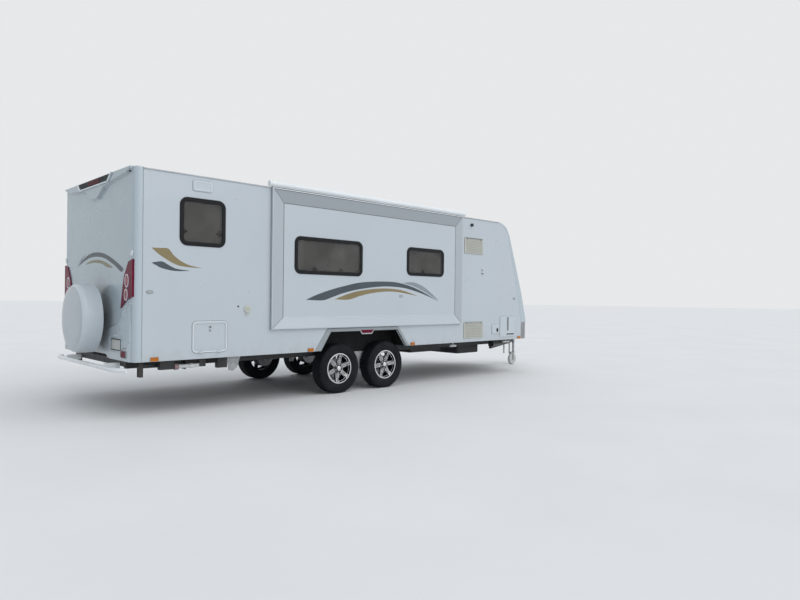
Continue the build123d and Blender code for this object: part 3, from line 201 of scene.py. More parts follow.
# Moulded ends: the rear and front shells are white gelcoat on glass fibre, laid up in moulds.
# They are bonded over the ends of the wall panels. Road film gathers low down.
BODY_WHITE = (0.508, 0.560, 0.604)
GEL_WHITE = (0.468, 0.538, 0.585)
REAR_FACE_SHADE = (0.345, 0.425, 0.475)
ROAD_FILM = (0.36, 0.36, 0.34)
# Heights between which the road film thickens, and those between which the rear face's painted shade fades
# in
ROAD_FILM_TOP, ROAD_FILM_FOOT = 1.05, 0.62
REAR_SHADE_FOOT, REAR_SHADE_TOP = 1.1, 1.6


def dress(made, *nodes):
    """Gives CAD nodes a finish."""
    for name in nodes:
        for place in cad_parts[name].material_slots:
            place.link = "OBJECT"
            place.material = made


def reach(made, axis):
    """How far along one axis of the caravan a point lies, in metres."""
    return step(made, "ShaderNodeSeparateXYZ", [(0, place_of(made))]).outputs[axis]


def facing(made, axis, sign=1.0):
    """How far a point's surface faces along one axis, or against it, from -1 to 1."""
    way = step(made, "ShaderNodeTexCoord").outputs["Normal"]
    way = step(made, "ShaderNodeSeparateXYZ", [(0, way)]).outputs[axis]
    return sums(made, "MULTIPLY", way, sign)


def mask(made, fac, low, high, most=1.0):
    """Nothing where fac is under low, and most where it is over high."""
    return ramp(made, fac, (low, (0, 0, 0)), (high, (most,) * 3))


def overlay(made, fac, colour):
    """Lays a colour, or a node's output, over the finish's own where fac is 1."""
    base = made.node_tree.nodes["Principled BSDF"].inputs["Base Color"]
    own = base.links[0].from_socket if base.links else tuple(base.default_value)
    new = colour if isinstance(colour, bpy.types.NodeSocket) else (*colour, 1)
    feeds = [("Factor", fac), (6, own), (7, new)]
    into(made, "Base Color", step(made, "ShaderNodeMix", feeds, data_type="RGBA").outputs[2])


def body_white(name, rough, wave, streak, white=BODY_WHITE):
    """White body finish: a faint wave, road film low down and pale rain streaks."""
    made = finish(name, white, rough, coat=0.35)
    place = place_of(made)
    tones = (0.3, scaled(white, 0.975)), (0.7, white)
    into(made, "Base Color", ramp(made, cloud(made, 0.9, place=place), *tones))
    long_place = step(made, "ShaderNodeMapping", [("Vector", place), ("Scale", (26, 26, 0.7))]).outputs[0]
    rain = mask(made, cloud(made, 1.0, detail=1.0, place=long_place), 0.48, 0.90, most=streak)
    overlay(made, rain, scaled(ROAD_FILM, 1.2))
    low = spread(made, reach(made, "Z"), ROAD_FILM_TOP, ROAD_FILM_FOOT)
    film = sums(made, "MULTIPLY", low, cloud(made, 9.0, detail=8.0, place=place))
    overlay(made, mask(made, film, 0.28, 0.95, most=0.45), ROAD_FILM)
    gloss = (0.3, (rough,) * 3), (0.7, (rough + 0.1,) * 3)
    into(made, "Roughness", ramp(made, cloud(made, 5.0, place=place), *gloss))
    relief(made, cloud(made, wave, detail=1.0, place=place), 0.0006, 0.25)
    relief(made, cloud(made, 260.0, detail=1.0, place=place), 0.00005, 0.4)
    return made


# Faces that lean to the ground, such as the brow's lower side, are painted darker as shade, and the
# flat of the rear face above the skirt takes a thin painted shade.
gelcoat = body_white("white_gelcoat", 0.26, 1.2, 0.06, white=GEL_WHITE)
overlay(gelcoat, mask(gelcoat, facing(gelcoat, "Z", -1.0), 0.08, 0.30), scaled(GEL_WHITE, 0.74))
# Painted shade on the flat of the rear face, fading in above the skirt
above_skirt = spread(gelcoat, reach(gelcoat, "Z"), REAR_SHADE_FOOT, REAR_SHADE_TOP)
rear_face_shade = sums(gelcoat, "MULTIPLY", mask(gelcoat, facing(gelcoat, "X", -1.0), 0.90, 0.99), above_skirt)
overlay(gelcoat, rear_face_shade, REAR_FACE_SHADE)
dress(gelcoat, "rear_moulding", "front_moulding")


# Side walls, roof, doors and hatch doors: white painted sheet bonded to foam sandwich panels.
# The sheet is flatter and a little duller than the moulded ends.
sheet_white = body_white("white_sheet", 0.27, 1.1, 0.05)
dress(sheet_white, "side_wall_right", "side_wall_left", "roof_panel", "slideout_box")
dress(sheet_white, "door_panel", "hatch_door_right", "hatch_door_left", "door_surround")


# Seams and drip rails: a grey sealant line where each wall meets the rear and front shells,
# and an aluminium drip rail along the top of the walls.
SEAM_AND_SHADE_GREY = (0.24, 0.27, 0.29)
# Where the rear wall stands, half the body's width, and the foot and top of the walls
REAR = -4.366
HALF = 1.25
BODY_LOW = 0.646
BODY_TOP = 2.860


def wall(side, x, z, out=0.0):
    """A place on a side wall, x ahead of the rear: local X along it, Y up, Z outwards."""
    return Matrix(((-side, 0, 0, REAR + x), (0, 0, side, side * (HALF + out)), (0, 1, 0, z), (0, 0, 0, 1)))


def back(y, z, out=0.0):
    """A place on the rear face: local X to the right as seen from behind, local Z outwards."""
    return Matrix(((0, 0, -1, REAR - out), (-1, 0, 0, y), (0, 1, 0, z), (0, 0, 0, 1)))


def rectangle(edges, grow=0.0):
    """Corners of a rectangle whose edges are given as left, right, low and high."""
    x0, x1, z0, z1 = edges
    return [(x0 - grow, z0 - grow), (x1 + grow, z0 - grow), (x1 + grow, z1 + grow), (x0 - grow, z1 + grow)]


def rounded(width, height, radius, steps=5):
    """Outline of a rectangle with round corners, about its centre."""
    line = []
    for turn, (sx, sy) in enumerate(((1, 1), (-1, 1), (-1, -1), (1, -1))):
        for i in range(steps + 1):
            angle = math.radians(90 * (turn + i / steps))
            x = sx * (width / 2 - radius) + radius * math.cos(angle)
            line.append((x, sy * (height / 2 - radius) + radius * math.sin(angle)))
    return line


def slab(outline, depth, place):
    """An outline given a thickness along local Z."""
    twice_area = sum(a[0] * b[1] - b[0] * a[1] for a, b in zip(outline, outline[1:] + outline[:1]))
    outline = outline if twice_area > 0 else outline[::-1]
    count = len(outline)
    points = [place @ Vector((x, y, z)) for z in (0, depth) for x, y in outline]
    around = [(i, (i + 1) % count, (i + 1) % count + count, i + count) for i in range(count)]
    return points, [tuple(reversed(range(count))), tuple(range(count, 2 * count)), *around]


def banded(outer, inner, depth, place):
    """The band between two outlines that have as many corners, given a thickness."""
    count = len(outer)
    points = [place @ Vector((x, y, z)) for z in (0, depth) for x, y in (*outer, *inner)]
    faces = []
    for i in range(count):
        j = (i + 1) % count
        low, high = (i, j, j + count, i + count), [k + 2 * count for k in (i, j, j + count, i + count)]
        faces += [tuple(reversed(low)), tuple(high)]
        faces += [(i, j, j + 2 * count, i + 2 * count)]
        faces += [(j + count, i + count, i + 3 * count, j + 3 * count)]
    return points, faces


def bar(x_span, y_span, z_span):
    """A straight bar between two places along each axis of the caravan."""
    place = Matrix.Translation((0, 0, z_span[0]))
    return slab(rectangle((*x_span, *y_span)), z_span[1] - z_span[0], place)


def piece(name, shapes, made, body="root", edge=0.0, sharp=35):
    """One piece from shapes, with its finish, its edge rounding and the body that it rides."""
    corners, faces = [], []
    for points, sides in shapes:
        faces += [tuple(len(corners) + i for i in side) for side in sides]
        corners += [tuple(point) for point in points]
    mesh = bpy.data.meshes.new(name)
    mesh.from_pydata(corners, [], faces)
    mesh.polygons.foreach_set("use_smooth", [True] * len(mesh.polygons))
    mesh.set_sharp_from_angle(angle=math.radians(sharp))
    mesh.materials.append(made)
    new = bpy.data.objects.new(name, mesh)
    bpy.context.collection.objects.link(new)
    if edge:
        rounding = new.modifiers.new("edge", "BEVEL")
        rounding.width = edge
        rounding.segments = 2
        rounding.limit_method = "ANGLE"
        rounding.angle_limit = math.radians(40)
        rounding.harden_normals = True
    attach(new, body)
    return new


# This grey is sealant on the seams, and also paints shade lines along the rear skirt's edge and round the
# wall covers
sealant_and_shade = grained("sealant_and_shade_grey", SEAM_AND_SHADE_GREY, 0.55, patch=12.0, vary=0.12, grain=200.0)
rail_alloy = grained("rail_alloy", (0.42, 0.45, 0.47), 0.38, patch=9.0, vary=0.1, metal=0.4)
# A line's thickness, and how far it is sunk into the sheet
LINE_THICK, LINE_SUNK = 0.002, 0.001
REAR_SEAM_X, REAR_SEAM_HALF = 0.09, 0.003
# Front seam. Columns: X from the rear, Z
FRONT_SEAM = [(7.47, 0.97), (7.35, 1.53), (7.10, 2.38), (7.00, 2.68), (6.875, 2.80)]
# Upper edge of the rear skirt, traced by a thin grey line of painted shade, not a seam. Columns: distance
# from the middle, Z
SKIRT_EDGE = [(0.42, 0.974), (0.50, 1.013), (0.82, 1.085)]
seam_and_shade_lines = []
for side in (-1, 1):
    corners = rectangle((-REAR_SEAM_HALF, REAR_SEAM_HALF, BODY_LOW + 0.004, BODY_TOP))
    seam_and_shade_lines.append(slab(corners, LINE_THICK + 0.0002, wall(side, REAR_SEAM_X, 0, -LINE_SUNK)))
    for (x0, z0), (x1, z1) in zip(FRONT_SEAM, FRONT_SEAM[1:]):
        lift = Vector((z0 - z1, x1 - x0)).normalized() * 0.0025
        corners = [(x0, z0), (x1, z1), (x1 + lift[0], z1 + lift[1]), (x0 + lift[0], z0 + lift[1])]
        seam_and_shade_lines.append(slab([(-side * x, z) for x, z in corners], LINE_THICK, wall(side, 0, 0, -LINE_SUNK)))
    # Painted shade line along the skirt's upper edge
    for (y0, z0), (y1, z1) in zip(SKIRT_EDGE, SKIRT_EDGE[1:]):
        corners = [(-side * y0, z0), (-side * y1, z1), (-side * y1, z1 + 0.005), (-side * y0, z0 + 0.005)]
        seam_and_shade_lines.append(slab(corners, LINE_THICK, back(0, 0, -LINE_SUNK)))
piece("seams_and_skirt_shade", seam_and_shade_lines, sealant_and_shade)
# Shoulder of the skirt, which sweeps up to the foot of each tail lamp. Columns: Y, Z
SHOULDER = [(0.78, 1.068), (0.84, 1.086), (0.90, 1.125), (0.96, 1.177), (1.02, 1.230), (1.085, 1.268),
            (1.165, 1.290), (1.178, 1.00), (0.78, 1.00)]
shoulders = [slab([(-side * y, z) for y, z in SHOULDER], 0.0192, back(0, 0, -0.0005)) for side in (-1, 1)]
piece("skirt_shoulders", shoulders, gelcoat, edge=0.003)

# Drip rail lengths. Columns: side, rear X, front X
rails = []
for side, start, end in ((-1, REAR_SEAM_X, 1.715), (-1, 5.70, 6.72), (1, REAR_SEAM_X, 6.72)):
    y_span = sorted((side * (HALF - LINE_SUNK), side * (HALF + 0.009)))
    rails.append(bar((REAR + start, REAR + end), y_span, (BODY_TOP - 0.017, BODY_TOP - 0.003)))
piece("drip_rails", rails, rail_alloy, edge=0.003)


# Slide-out face: a white moulded frame round a flat panel, with mitred corners. Its sloped
# strips are painted darker than the panel as shade, most of all the upper one under the topper.
# A dark bulb seal closes the gap to the wall. Dark lines along the panel's top and sides paint the shade at
# its edge, and a white bead along its foot paints the highlight there.
face_white = body_white("face_white", 0.28, 1.1, 0.03)
# Painted shade on the side strips and, darker, on the upper strip that faces down
side_strip_shade = mask(face_white, sums(face_white, "ABSOLUTE", facing(face_white, "X")), 0.02, 0.06)
overlay(face_white, side_strip_shade, scaled(BODY_WHITE, 0.83))
under_strip_shade = mask(face_white, facing(face_white, "Z", -1.0), 0.02, 0.06)
overlay(face_white, under_strip_shade, scaled(BODY_WHITE, 0.65))
dress(face_white, "slideout_face")
# Edges of the face and of its flat panel: rear X, front X, low Z, high Z. Each stands so far out
# from the caravan's middle.
FACE, FACE_OUT = (1.77, 5.64, 0.975, 2.86), 1.289
PANEL, PANEL_OUT = (1.96, 5.47, 1.13, 2.665), 1.265
seal_black = grained("seal_rubber", (0.02, 0.021, 0.023), 0.62, patch=30.0, vary=0.3, shine=0.3)
seal_grey = grained("seal_grey", (0.115, 0.13, 0.14), 0.6, patch=30.0, vary=0.2)
bead_white = grained("panel_bead", (0.66, 0.71, 0.74), 0.3, patch=6.0, vary=0.03, coat=0.3)


def pipe(route, radius, steps=8):
    """A round bar that follows the given places."""
    route = [Vector(at) for at in route]
    normal = (route[1] - route[0]).orthogonal().normalized()
    points, faces = [], []
    for i, at in enumerate(route):
        along = (route[min(i + 1, len(route) - 1)] - route[max(i - 1, 0)]).normalized()
        normal = (normal - along * normal.dot(along)).normalized()
        other = along.cross(normal)
        for k in range(steps):
            angle = 2 * math.pi * k / steps
            points.append(at + radius * (math.cos(angle) * normal + math.sin(angle) * other))
    for i in range(len(route) - 1):
        for k in range(steps):
            a, b = i * steps + k, i * steps + (k + 1) % steps
            faces.append((a, b, b + steps, a + steps))
    last = (len(route) - 1) * steps
    return points, faces + [tuple(reversed(range(steps))), tuple(range(last, last + steps))]


seal_place = wall(-1, 0, 0, 0.0006)
face_seal = banded(rectangle(FACE, 0.002), rectangle(FACE, -0.022), 0.0042, seal_place)
piece("slideout_seal", [face_seal], seal_grey, "slideout", edge=0.001)
mitres = []
for (x0, z0), (x1, z1) in zip(rectangle(FACE, -0.012), rectangle(PANEL)):
    ends = [(REAR + x0, 0.0006 - FACE_OUT, z0), (REAR + x1, 0.0006 - PANEL_OUT, z1)]
    mitres.append(pipe(ends, 0.0030, 6))
piece("slideout_mitres", mitres, seal_grey, "slideout")
# Lines round the panel's edge: painted highlight along its foot, painted shade along its top and sides
panel_corners = [(REAR + x, -PANEL_OUT - 0.0005, z) for x, z in rectangle(PANEL)]
panel_edges = [pipe([a, b], 0.0035) for a, b in zip(panel_corners, panel_corners[1:] + panel_corners[:1])]
piece("slideout_panel_highlight", panel_edges[:1], bead_white, "slideout")
piece("slideout_panel_shade_lines", panel_edges[1:], seal_grey, "slideout")


# Slide-out topper: a spring roller under a white cover shell on the face's top edge.
# The roller holds a cloth that keeps rain off the slide-out's roof.
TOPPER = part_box("slideout_topper")
TOPPER_Y, TOPPER_Z = -1.277, BODY_TOP + 0.038
# The topper's finish is paler than the body white, which paints the highlight along it
lit_topper_white = grained("lit_topper_white", (0.76, 0.80, 0.82), 0.34, patch=4.0, vary=0.03, coat=0.2)
dress(lit_topper_white, "slideout_topper")


def arched(angles, inner, outer, x_span, y, z):
    """A bent shell along the caravan, between two radii about a line at y and z."""
    line = [(math.cos(a) * outer, math.sin(a) * outer) for a in angles]
    line += [(math.cos(a) * inner, math.sin(a) * inner) for a in reversed(angles)]
    place = Matrix(((0, 0, 1, x_span[0]), (1, 0, 0, y), (0, 1, 0, z), (0, 0, 0, 1)))
    return slab(line, x_span[1] - x_span[0], place)


shell_angles = [math.radians(a) for a in range(-5, 216, 12)]
topper_span = (TOPPER[0].x + 0.019, TOPPER[1].x - 0.019)
shell = arched(shell_angles, 0.0352, 0.0378, topper_span, TOPPER_Y, TOPPER_Z)
lip = bar(topper_span, (TOPPER_Y - 0.0375, TOPPER_Y - 0.031), (TOPPER_Z - 0.012, TOPPER_Z - 0.002))
piece("topper_shell", [shell, lip], lit_topper_white, "slideout", edge=0.0008)
sill_span = (REAR + FACE[0] - 0.001, REAR + FACE[1] + 0.001)
sill = bar(sill_span, (-FACE_OUT - 0.002, -1.2545), (BODY_TOP + 0.0006, BODY_TOP + 0.0205))
piece("topper_sill", [sill], lit_topper_white, "slideout", edge=0.002)
# Black lines under the roller, painted shade in the gaps there. Columns: low Z, high Z, how far they stand
# out from the wall plane
TOPPER_SHADE_LINES = [(2.8525, 2.8585, 0.0403), (2.8325, 2.8375, 0.0385)]
lines = [bar(sill_span, (-HALF - out, -1.286), (low, high)) for low, high, out in TOPPER_SHADE_LINES]
piece("topper_shade_lines", lines, seal_black, "slideout")
bead = bar(sill_span, (-1.2915, -1.286), (2.8385, 2.8515))
piece("topper_bead", [bead], lit_topper_white, "slideout", edge=0.0015)


# Windows: a black moulded frame clamped to the wall over a rubber seal, with a brown tinted
# acrylic pane. Pleated blinds hang behind, and small catches hold each pane's lower edge.
frame_black = grained("window_frame_black", (0.005, 0.006, 0.008), 0.5, patch=10.0, vary=0.2, shine=0.25)
dress(frame_black, "window_frames", "slideout_window_frames")
tint = grained("tinted_pane", (0.060, 0.057, 0.054), 0.08, patch=3.0, vary=0.45, grain=3.0,
               depth=0.0012, alpha=0.42, shine=0.4)
dress(tint, "window_panes", "slideout_window_panes")
dress(grained("door_pane_tint", (0.05, 0.05, 0.05), 0.25, patch=4.0, vary=0.1, alpha=0.8), "door_pane")
# Columns: side, rear X from the rear, front X, low Z, high Z, wall plane, body, catch places
WINDOWS = [
    (-1, 0.525, 1.11, 2.01, 2.58, 0.0, "root", [(0.58, 2.175), (1.04, 2.175)]),
    (1, 0.525, 1.11, 2.01, 2.58, 0.0, "root", [(0.62, 2.09), (1.01, 2.09)]),
    (1, 1.50, 2.70, 1.73, 2.24, 0.0, "root", [(1.86, 1.80), (2.34, 1.80)]),
    (1, 3.20, 4.10, 1.73, 2.24, 0.0, "root", [(3.45, 1.80), (3.85, 1.80)]),
    (1, 6.12, 6.78, 1.79, 2.32, 0.0, "root", [(6.30, 1.86), (6.60, 1.86)]),
    (-1, 2.14, 3.35, 1.73, 2.24, 0.015, "slideout", [(2.48, 1.80), (2.95, 1.80)]),
    (-1, 4.29, 5.17, 1.78, 2.23, 0.015, "slideout", [(4.67, 1.845)]),
]
blind_cloth = grained("blind_cloth", (0.42, 0.405, 0.385), 0.9, patch=3.5, vary=0.30, grain=1400.0)
catch_black = grained("catch_plastic", (0.012, 0.012, 0.013), 0.4, patch=30.0, vary=0.2)


def pleats(width, height, depth, place, pitch=0.018):
    """A pleated blind."""
    rows = max(2, round(height / pitch))
    points = []
    for i in range(rows + 1):
        z = height * (i / rows - 0.5)
        points += [place @ Vector((x, z, depth * (i % 2))) for x in (-width / 2, width / 2)]
    return points, [(2 * i, 2 * i + 1, 2 * i + 3, 2 * i + 2) for i in range(rows)]


def tile(size, depth, place):
    """A plate with round corners. Its size is width, height and corner radius."""
    return slab(rounded(*size), depth, place)


def rim(outer, inner, depth, place):
    """The band between two such sizes."""
    return banded(rounded(*outer), rounded(*inner), depth, place)


def out_from(place, by, x=0.0, y=0.0):
    """The same place, further out, and along its own X and Y."""
    return place @ Matrix.Translation((x, y, by))


for body, kind in (("root", "window"), ("slideout", "slideout_window")):
    seals, blinds, catches = [], [], []
    for side, x0, x1, z0, z1, plane, rides, places in WINDOWS:
        if rides != body:
            continue
        width, height = x1 - x0, z1 - z0
        at = wall(side, (x0 + x1) / 2, (z0 + z1) / 2, plane)
        outer, inner = (width + 0.010, height + 0.010, 0.095), (width - 0.01, height - 0.01, 0.085)
        seals.append(rim(outer, inner, 0.004, out_from(at, -0.0005)))
        blinds.append(pleats(width - 0.096, height - 0.096, 0.007, out_from(at, -0.028)))
        for x, z in places:
            catch = wall(side, x, z, plane - 0.018)
            catches.append(tile((0.080, 0.026, 0.008), 0.010, catch))
            catches.append(tile((0.026, 0.080, 0.008), 0.008, catch))
    piece(f"{kind}_seals", seals, seal_black, body, edge=0.001)
    piece(f"{kind}_blinds", blinds, blind_cloth, body, sharp=180)
    piece(f"{kind}_catches", catches, catch_black, body, edge=0.002)


# Stripes: long tapering swooshes of cut film in dark grey, gold and light grey, stuck on the
# slide-out's panel, the right wall ahead of the rear seam and the rear moulding.
FILM_THICK = 0.0006
film_dark = grained("film_dark_grey", (0.056, 0.074, 0.090), 0.4, patch=3.0, vary=0.08, grain=500.0)
film_gold = grained("film_gold", (0.240, 0.190, 0.093), 0.4, patch=3.0, vary=0.08, grain=500.0)
film_light = grained("film_light_grey", (0.24, 0.28, 0.315), 0.4, patch=3.0, vary=0.06, grain=500.0)
film_olive = grained("film_olive", (0.215, 0.205, 0.125), 0.4, patch=3.0, vary=0.08, grain=500.0)


def smooth(line, steps=8):
    """A smooth line through the given places."""
    ends = [line[0], *line, line[-1]]
    made = []
    for a, b, c, d in zip(ends, ends[1:], ends[2:], ends[3:]):
        for i in range(steps):
            t = i / steps
            made.append(
                tuple(
                    0.5 * (2 * q + (r - p) * t + (2 * p - 5 * q + 4 * r - s) * t * t
                           + (3 * q - p - 3 * r + s) * t ** 3)
                    for p, q, r, s in zip(a, b, c, d)
                )
            )
    return made + [tuple(line[-1])]


def swoosh(upper, lower, place):
    """A stripe between two lines that share their first and last places."""
    outline = smooth(upper) + smooth(lower)[::-1][1:-1]
    return slab(outline, FILM_THICK + 0.0003, out_from(place, -0.0003))


room_place, wall_place, rear_place = wall(-1, 0, 0, PANEL_OUT - HALF), wall(-1, 0, 0), back(0, 0)
# Columns: name, place, film, slot, body, upper line, lower line. The lines on the slide-out and the
# wall hold X from the rear and Z, and those on the rear hold the distance to the right and Z.
STRIPES = [
    ("slideout_stripe_dark", room_place, film_dark, "black_frame", "slideout",
     [(2.33, 1.372), (2.52, 1.445), (2.75, 1.515), (3.0, 1.575), (3.35, 1.64), (3.85, 1.665), (4.2, 1.64),
      (4.6, 1.54), (5.05, 1.362)],
     [(2.33, 1.372), (2.62, 1.366), (2.8, 1.415), (3.0, 1.475), (3.3, 1.535), (3.7, 1.582), (4.0, 1.587),
      (4.3, 1.562), (4.7, 1.473), (5.05, 1.362)]),
    ("slideout_stripe_gold", room_place, film_gold, "cream_plastic", "slideout",
     [(2.83, 1.382), (2.95, 1.422), (3.1, 1.467), (3.3, 1.512), (3.6, 1.547), (3.9, 1.557), (4.2, 1.532),
      (4.55, 1.448)],
     [(2.83, 1.382), (3.09, 1.379), (3.3, 1.432), (3.5, 1.473), (3.8, 1.507), (4.1, 1.505), (4.55, 1.448)]),
    ("slideout_stripe_light", room_place, film_light, "grey_trim", "slideout",
     [(4.20, 1.652), (4.36, 1.668), (4.5, 1.660), (4.7, 1.595), (4.9, 1.478), (5.06, 1.374)],
     [(4.20, 1.652), (4.4, 1.615), (4.6, 1.558), (4.8, 1.480), (5.06, 1.374)]),
    ("wall_stripe_gold", wall_place, film_gold, "cream_plastic", "root",
     [(0.19, 1.955), (0.29, 1.956), (0.385, 1.955), (0.45, 1.885), (0.53, 1.825), (0.64, 1.775),
      (0.81, 1.742)],
     [(0.19, 1.955), (0.26, 1.895), (0.33, 1.85), (0.44, 1.79), (0.56, 1.755), (0.81, 1.742)]),
    ("wall_stripe_dark", wall_place, film_dark, "black_frame", "root",
     [(0.19, 1.782), (0.25, 1.795), (0.32, 1.80), (0.42, 1.75), (0.50, 1.722), (0.66, 1.706)],
     [(0.19, 1.782), (0.25, 1.752), (0.30, 1.728), (0.42, 1.702), (0.52, 1.697), (0.66, 1.706)]),
    ("rear_stripe_dark", rear_place, film_dark, "black_frame", "root",
     [(-0.70, 1.78), (-0.52, 1.865), (-0.25, 1.93), (0.0, 1.945), (0.30, 1.915), (0.62, 1.83),
      (0.93, 1.715)],
     [(-0.70, 1.78), (-0.50, 1.835), (-0.25, 1.88), (0.0, 1.89), (0.30, 1.86), (0.60, 1.775), (0.86, 1.68),
      (0.93, 1.715)]),
    ("rear_stripe_gold", rear_place, film_olive, "cream_plastic", "root",
     [(-0.42, 1.80), (-0.25, 1.835), (-0.05, 1.85), (0.20, 1.835), (0.42, 1.79), (0.60, 1.735)],
     [(-0.42, 1.80), (-0.25, 1.81), (-0.05, 1.815), (0.20, 1.795), (0.40, 1.745), (0.60, 1.735)]),
    ("rear_stripe_light", rear_place, film_light, "grey_trim", "root",
     [(-0.71, 1.80), (-0.55, 1.89), (-0.33, 1.950)],
     [(-0.71, 1.80), (-0.52, 1.876), (-0.33, 1.950)]),
]
for name, place, film, slot, body, upper, lower in STRIPES:
    piece(name, [swoosh(upper, lower, place)], film, body)


# Tail lamps: dark red moulded lenses that wrap each rear corner, with two round lights in
# pale rings. Smaller red lamps sit low on the skirt, and small red ones at the top corners.
red_lens = grained("red_lens", (0.135, 0.004, 0.026), 0.30, patch=30.0, vary=0.25, shine=0.12)
lens_rows = step(
    red_lens,
    "ShaderNodeTexWave",
    [("Vector", place_of(red_lens)), ("Scale", 70.0), ("Distortion", 0.0)],
    bands_direction="Z",
)
relief(red_lens, lens_rows.outputs["Fac"], 0.0004)
dress(red_lens, "red_lamps")
chrome = grained("chrome", (0.80, 0.81, 0.82), 0.07, patch=20.0, vary=0.04, metal=1.0)
bulb_red = grained("round_light_red", (0.30, 0.09, 0.11), 0.25, patch=40.0, vary=0.3, shine=0.2)
clear_lens = grained("clear_lens", (0.62, 0.60, 0.60), 0.2, patch=30.0, vary=0.1, coat=0.4)


def turned(profile, place, steps=28, closed=False):
    """A surface turned round local Z. Columns of the profile: radius, height."""
    points, rings = [], []
    for radius, height in profile:
        count = steps if radius else 1
        rings.append([len(points) + i for i in range(count)])
        for i in range(count):
            angle = 2 * math.pi * i / steps
            points.append(place @ Vector((radius * math.cos(angle), radius * math.sin(angle), height)))
    faces = []
    for low, high in zip(rings, rings[1:] + (rings[:1] if closed else [])):
        for i in range(steps):
            j = (i + 1) % steps
            ring = [low[i % len(low)], low[j % len(low)], high[j % len(high)], high[i % len(high)]]
            faces.append(tuple(dict.fromkeys(ring)))
    return points, faces


def hoop(radius, thick, place, steps=28):
    """A round wire ring about local Z."""
    line = [(radius + thick * math.cos(a), thick * math.sin(a)) for a in (k * math.pi / 4 for k in range(8))]
    return turned(line, place, steps, closed=True)


# Round lights, a little taller than wide. Columns: Y, Z, radius
ROUND_LIGHTS = [(1.066, 1.572, 0.064), (1.045, 1.412, 0.056)]
# Hood above each lamp, the crease under it and the crease over the low lamp. The hood and the crease under
# the lamp are pale, which paints their highlights. Columns: Y, Z
HOOD = [(1.20, 1.850), (1.225, 1.892), (1.205, 1.917), (1.170, 1.904), (1.15, 1.864)]
CREASE = [(0.905, 1.165), (0.95, 1.21), (1.02, 1.270), (1.09, 1.300), (1.175, 1.315)]
LOW_CREASE = [(0.905, 0.700), (0.925, 0.745), (0.965, 0.783), (1.03, 0.797), (1.085, 0.796)]
# How far the skirt's face stands out from the rear face, less what a piece sinks into it
SKIRT_OUT = 0.0175
rings, bulbs, hoods, low_trims = [], [], [], []
for side in (-1, 1):
    for y, z, radius in ROUND_LIGHTS:
        at = back(side * y, z, 0.0145) @ Matrix.Diagonal((0.80, 1.12, 1.0, 1.0))
        rings.append(hoop(radius, 0.0060, at))
        rings.append(hoop(radius * 0.45, 0.0030, out_from(at, 0.004)))
        dome = [(radius - 0.003, -0.002), (radius - 0.010, 0.004), (radius * 0.5, 0.007), (0, 0.008)]
        bulbs.append(turned(dome, at))
    # Pale hood and crease bead: painted highlights on the moulding
    hoods.append(slab([(-side * y, z) for y, z in HOOD], 0.012, back(0, 0, -0.0005)))
    hoods.append(pipe([(REAR - 0.001, side * y, z) for y, z in smooth(CREASE)], 0.007))
    low_trims.append(pipe([(REAR - 0.018, side * y, z) for y, z in smooth(LOW_CREASE)], 0.006))
    at = back(side * 1.005, 0.725, SKIRT_OUT)
    low_trims.append(rim((0.158, 0.088, 0.024), (0.144, 0.074, 0.017), 0.010, at))
piece("tail_lamp_rings", rings, bead_white)
piece("tail_lamp_lights", bulbs, bulb_red)
piece("tail_lamp_hood_highlights", hoods, bead_white, edge=0.004)
piece("low_lamp_trims", low_trims, sealant_and_shade, edge=0.001)
corners = [back(side * 1.08, 2.832) for side in (-1, 1)]
top_bases = [tile((0.100, 0.042, 0.014), 0.012, at) for at in corners]
piece("top_lamp_bases", top_bases, seal_black, edge=0.002)
top_lenses = [tile((0.084, 0.028, 0.010), 0.020, at) for at in corners]
piece("top_lamp_lenses", top_lenses, red_lens, edge=0.004)


# High stop lamp: a dark gloss insert in the brow with a red lamp behind its middle,
# and a white moulded lip round its sides and lower edge.
gloss_dark = grained("dark_gloss", (0.028, 0.037, 0.040), 0.5, patch=4.0, vary=0.3, shine=0.06)
dress(gloss_dark, "rear_top_panel")
# Columns: outer distance from the middle, outer Z, inner distance, inner Z
LIP = [(-0.640, 2.8715, -0.603, 2.8715), (-0.512, 2.766, -0.492, 2.783),
       (0.512, 2.766, 0.492, 2.783), (0.640, 2.8715, 0.603, 2.8715)]
lips = []
for (a, b, c, d), (e, f, g, h) in zip(LIP, LIP[1:]):
    lips.append(slab([(a, b), (e, f), (g, h), (c, d)], 0.020, back(0, 0, 0.033)))
piece("stop_lamp_lip", lips, bead_white, edge=0.005)
stop_red = grained("stop_lamp_red", (0.075, 0.010, 0.016), 0.5, patch=30.0, vary=0.2, shine=0.1)
stop_outline = [(-0.235, 2.852), (-0.205, 2.797), (0.205, 2.797), (0.235, 2.852)]
stop_shape = slab(stop_outline, 0.0030, back(0, 0, 0.0385))
piece("stop_lamp", [stop_shape], stop_red, edge=0.001)


# Number plate: a blank pressed plate in a moulded recess at the right of the skirt,
# with a small lamp above it.
PLATE_Y, PLATE_Z = -0.760, 0.825
plate_white = grained("plate_enamel", (0.50, 0.52, 0.50), 0.4, patch=14.0, vary=0.08, coat=0.2)
plate_place = back(PLATE_Y, PLATE_Z, SKIRT_OUT)
recess = rim((0.400, 0.190, 0.02), (0.372, 0.162, 0.012), 0.006, plate_place)
piece("plate_surround", [recess], gelcoat, edge=0.003)
plate = tile((0.30, 0.130, 0.012), 0.0022, plate_place)
piece("number_plate", [plate], plate_white, edge=0.0006)
border = rim((0.306, 0.136, 0.014), (0.284, 0.114, 0.008), 0.0034, plate_place)
piece("plate_border", [border], frame_black, edge=0.0006)
plate_lamp = tile((0.06, 0.016, 0.005), 0.016, back(PLATE_Y, PLATE_Z + 0.104, 0.017))
piece("plate_lamp", [plate_lamp], bead_white, edge=0.004)
bolt = [(0.006, 0), (0.006, 0.003), (0.004, 0.0045), (0, 0.005)]
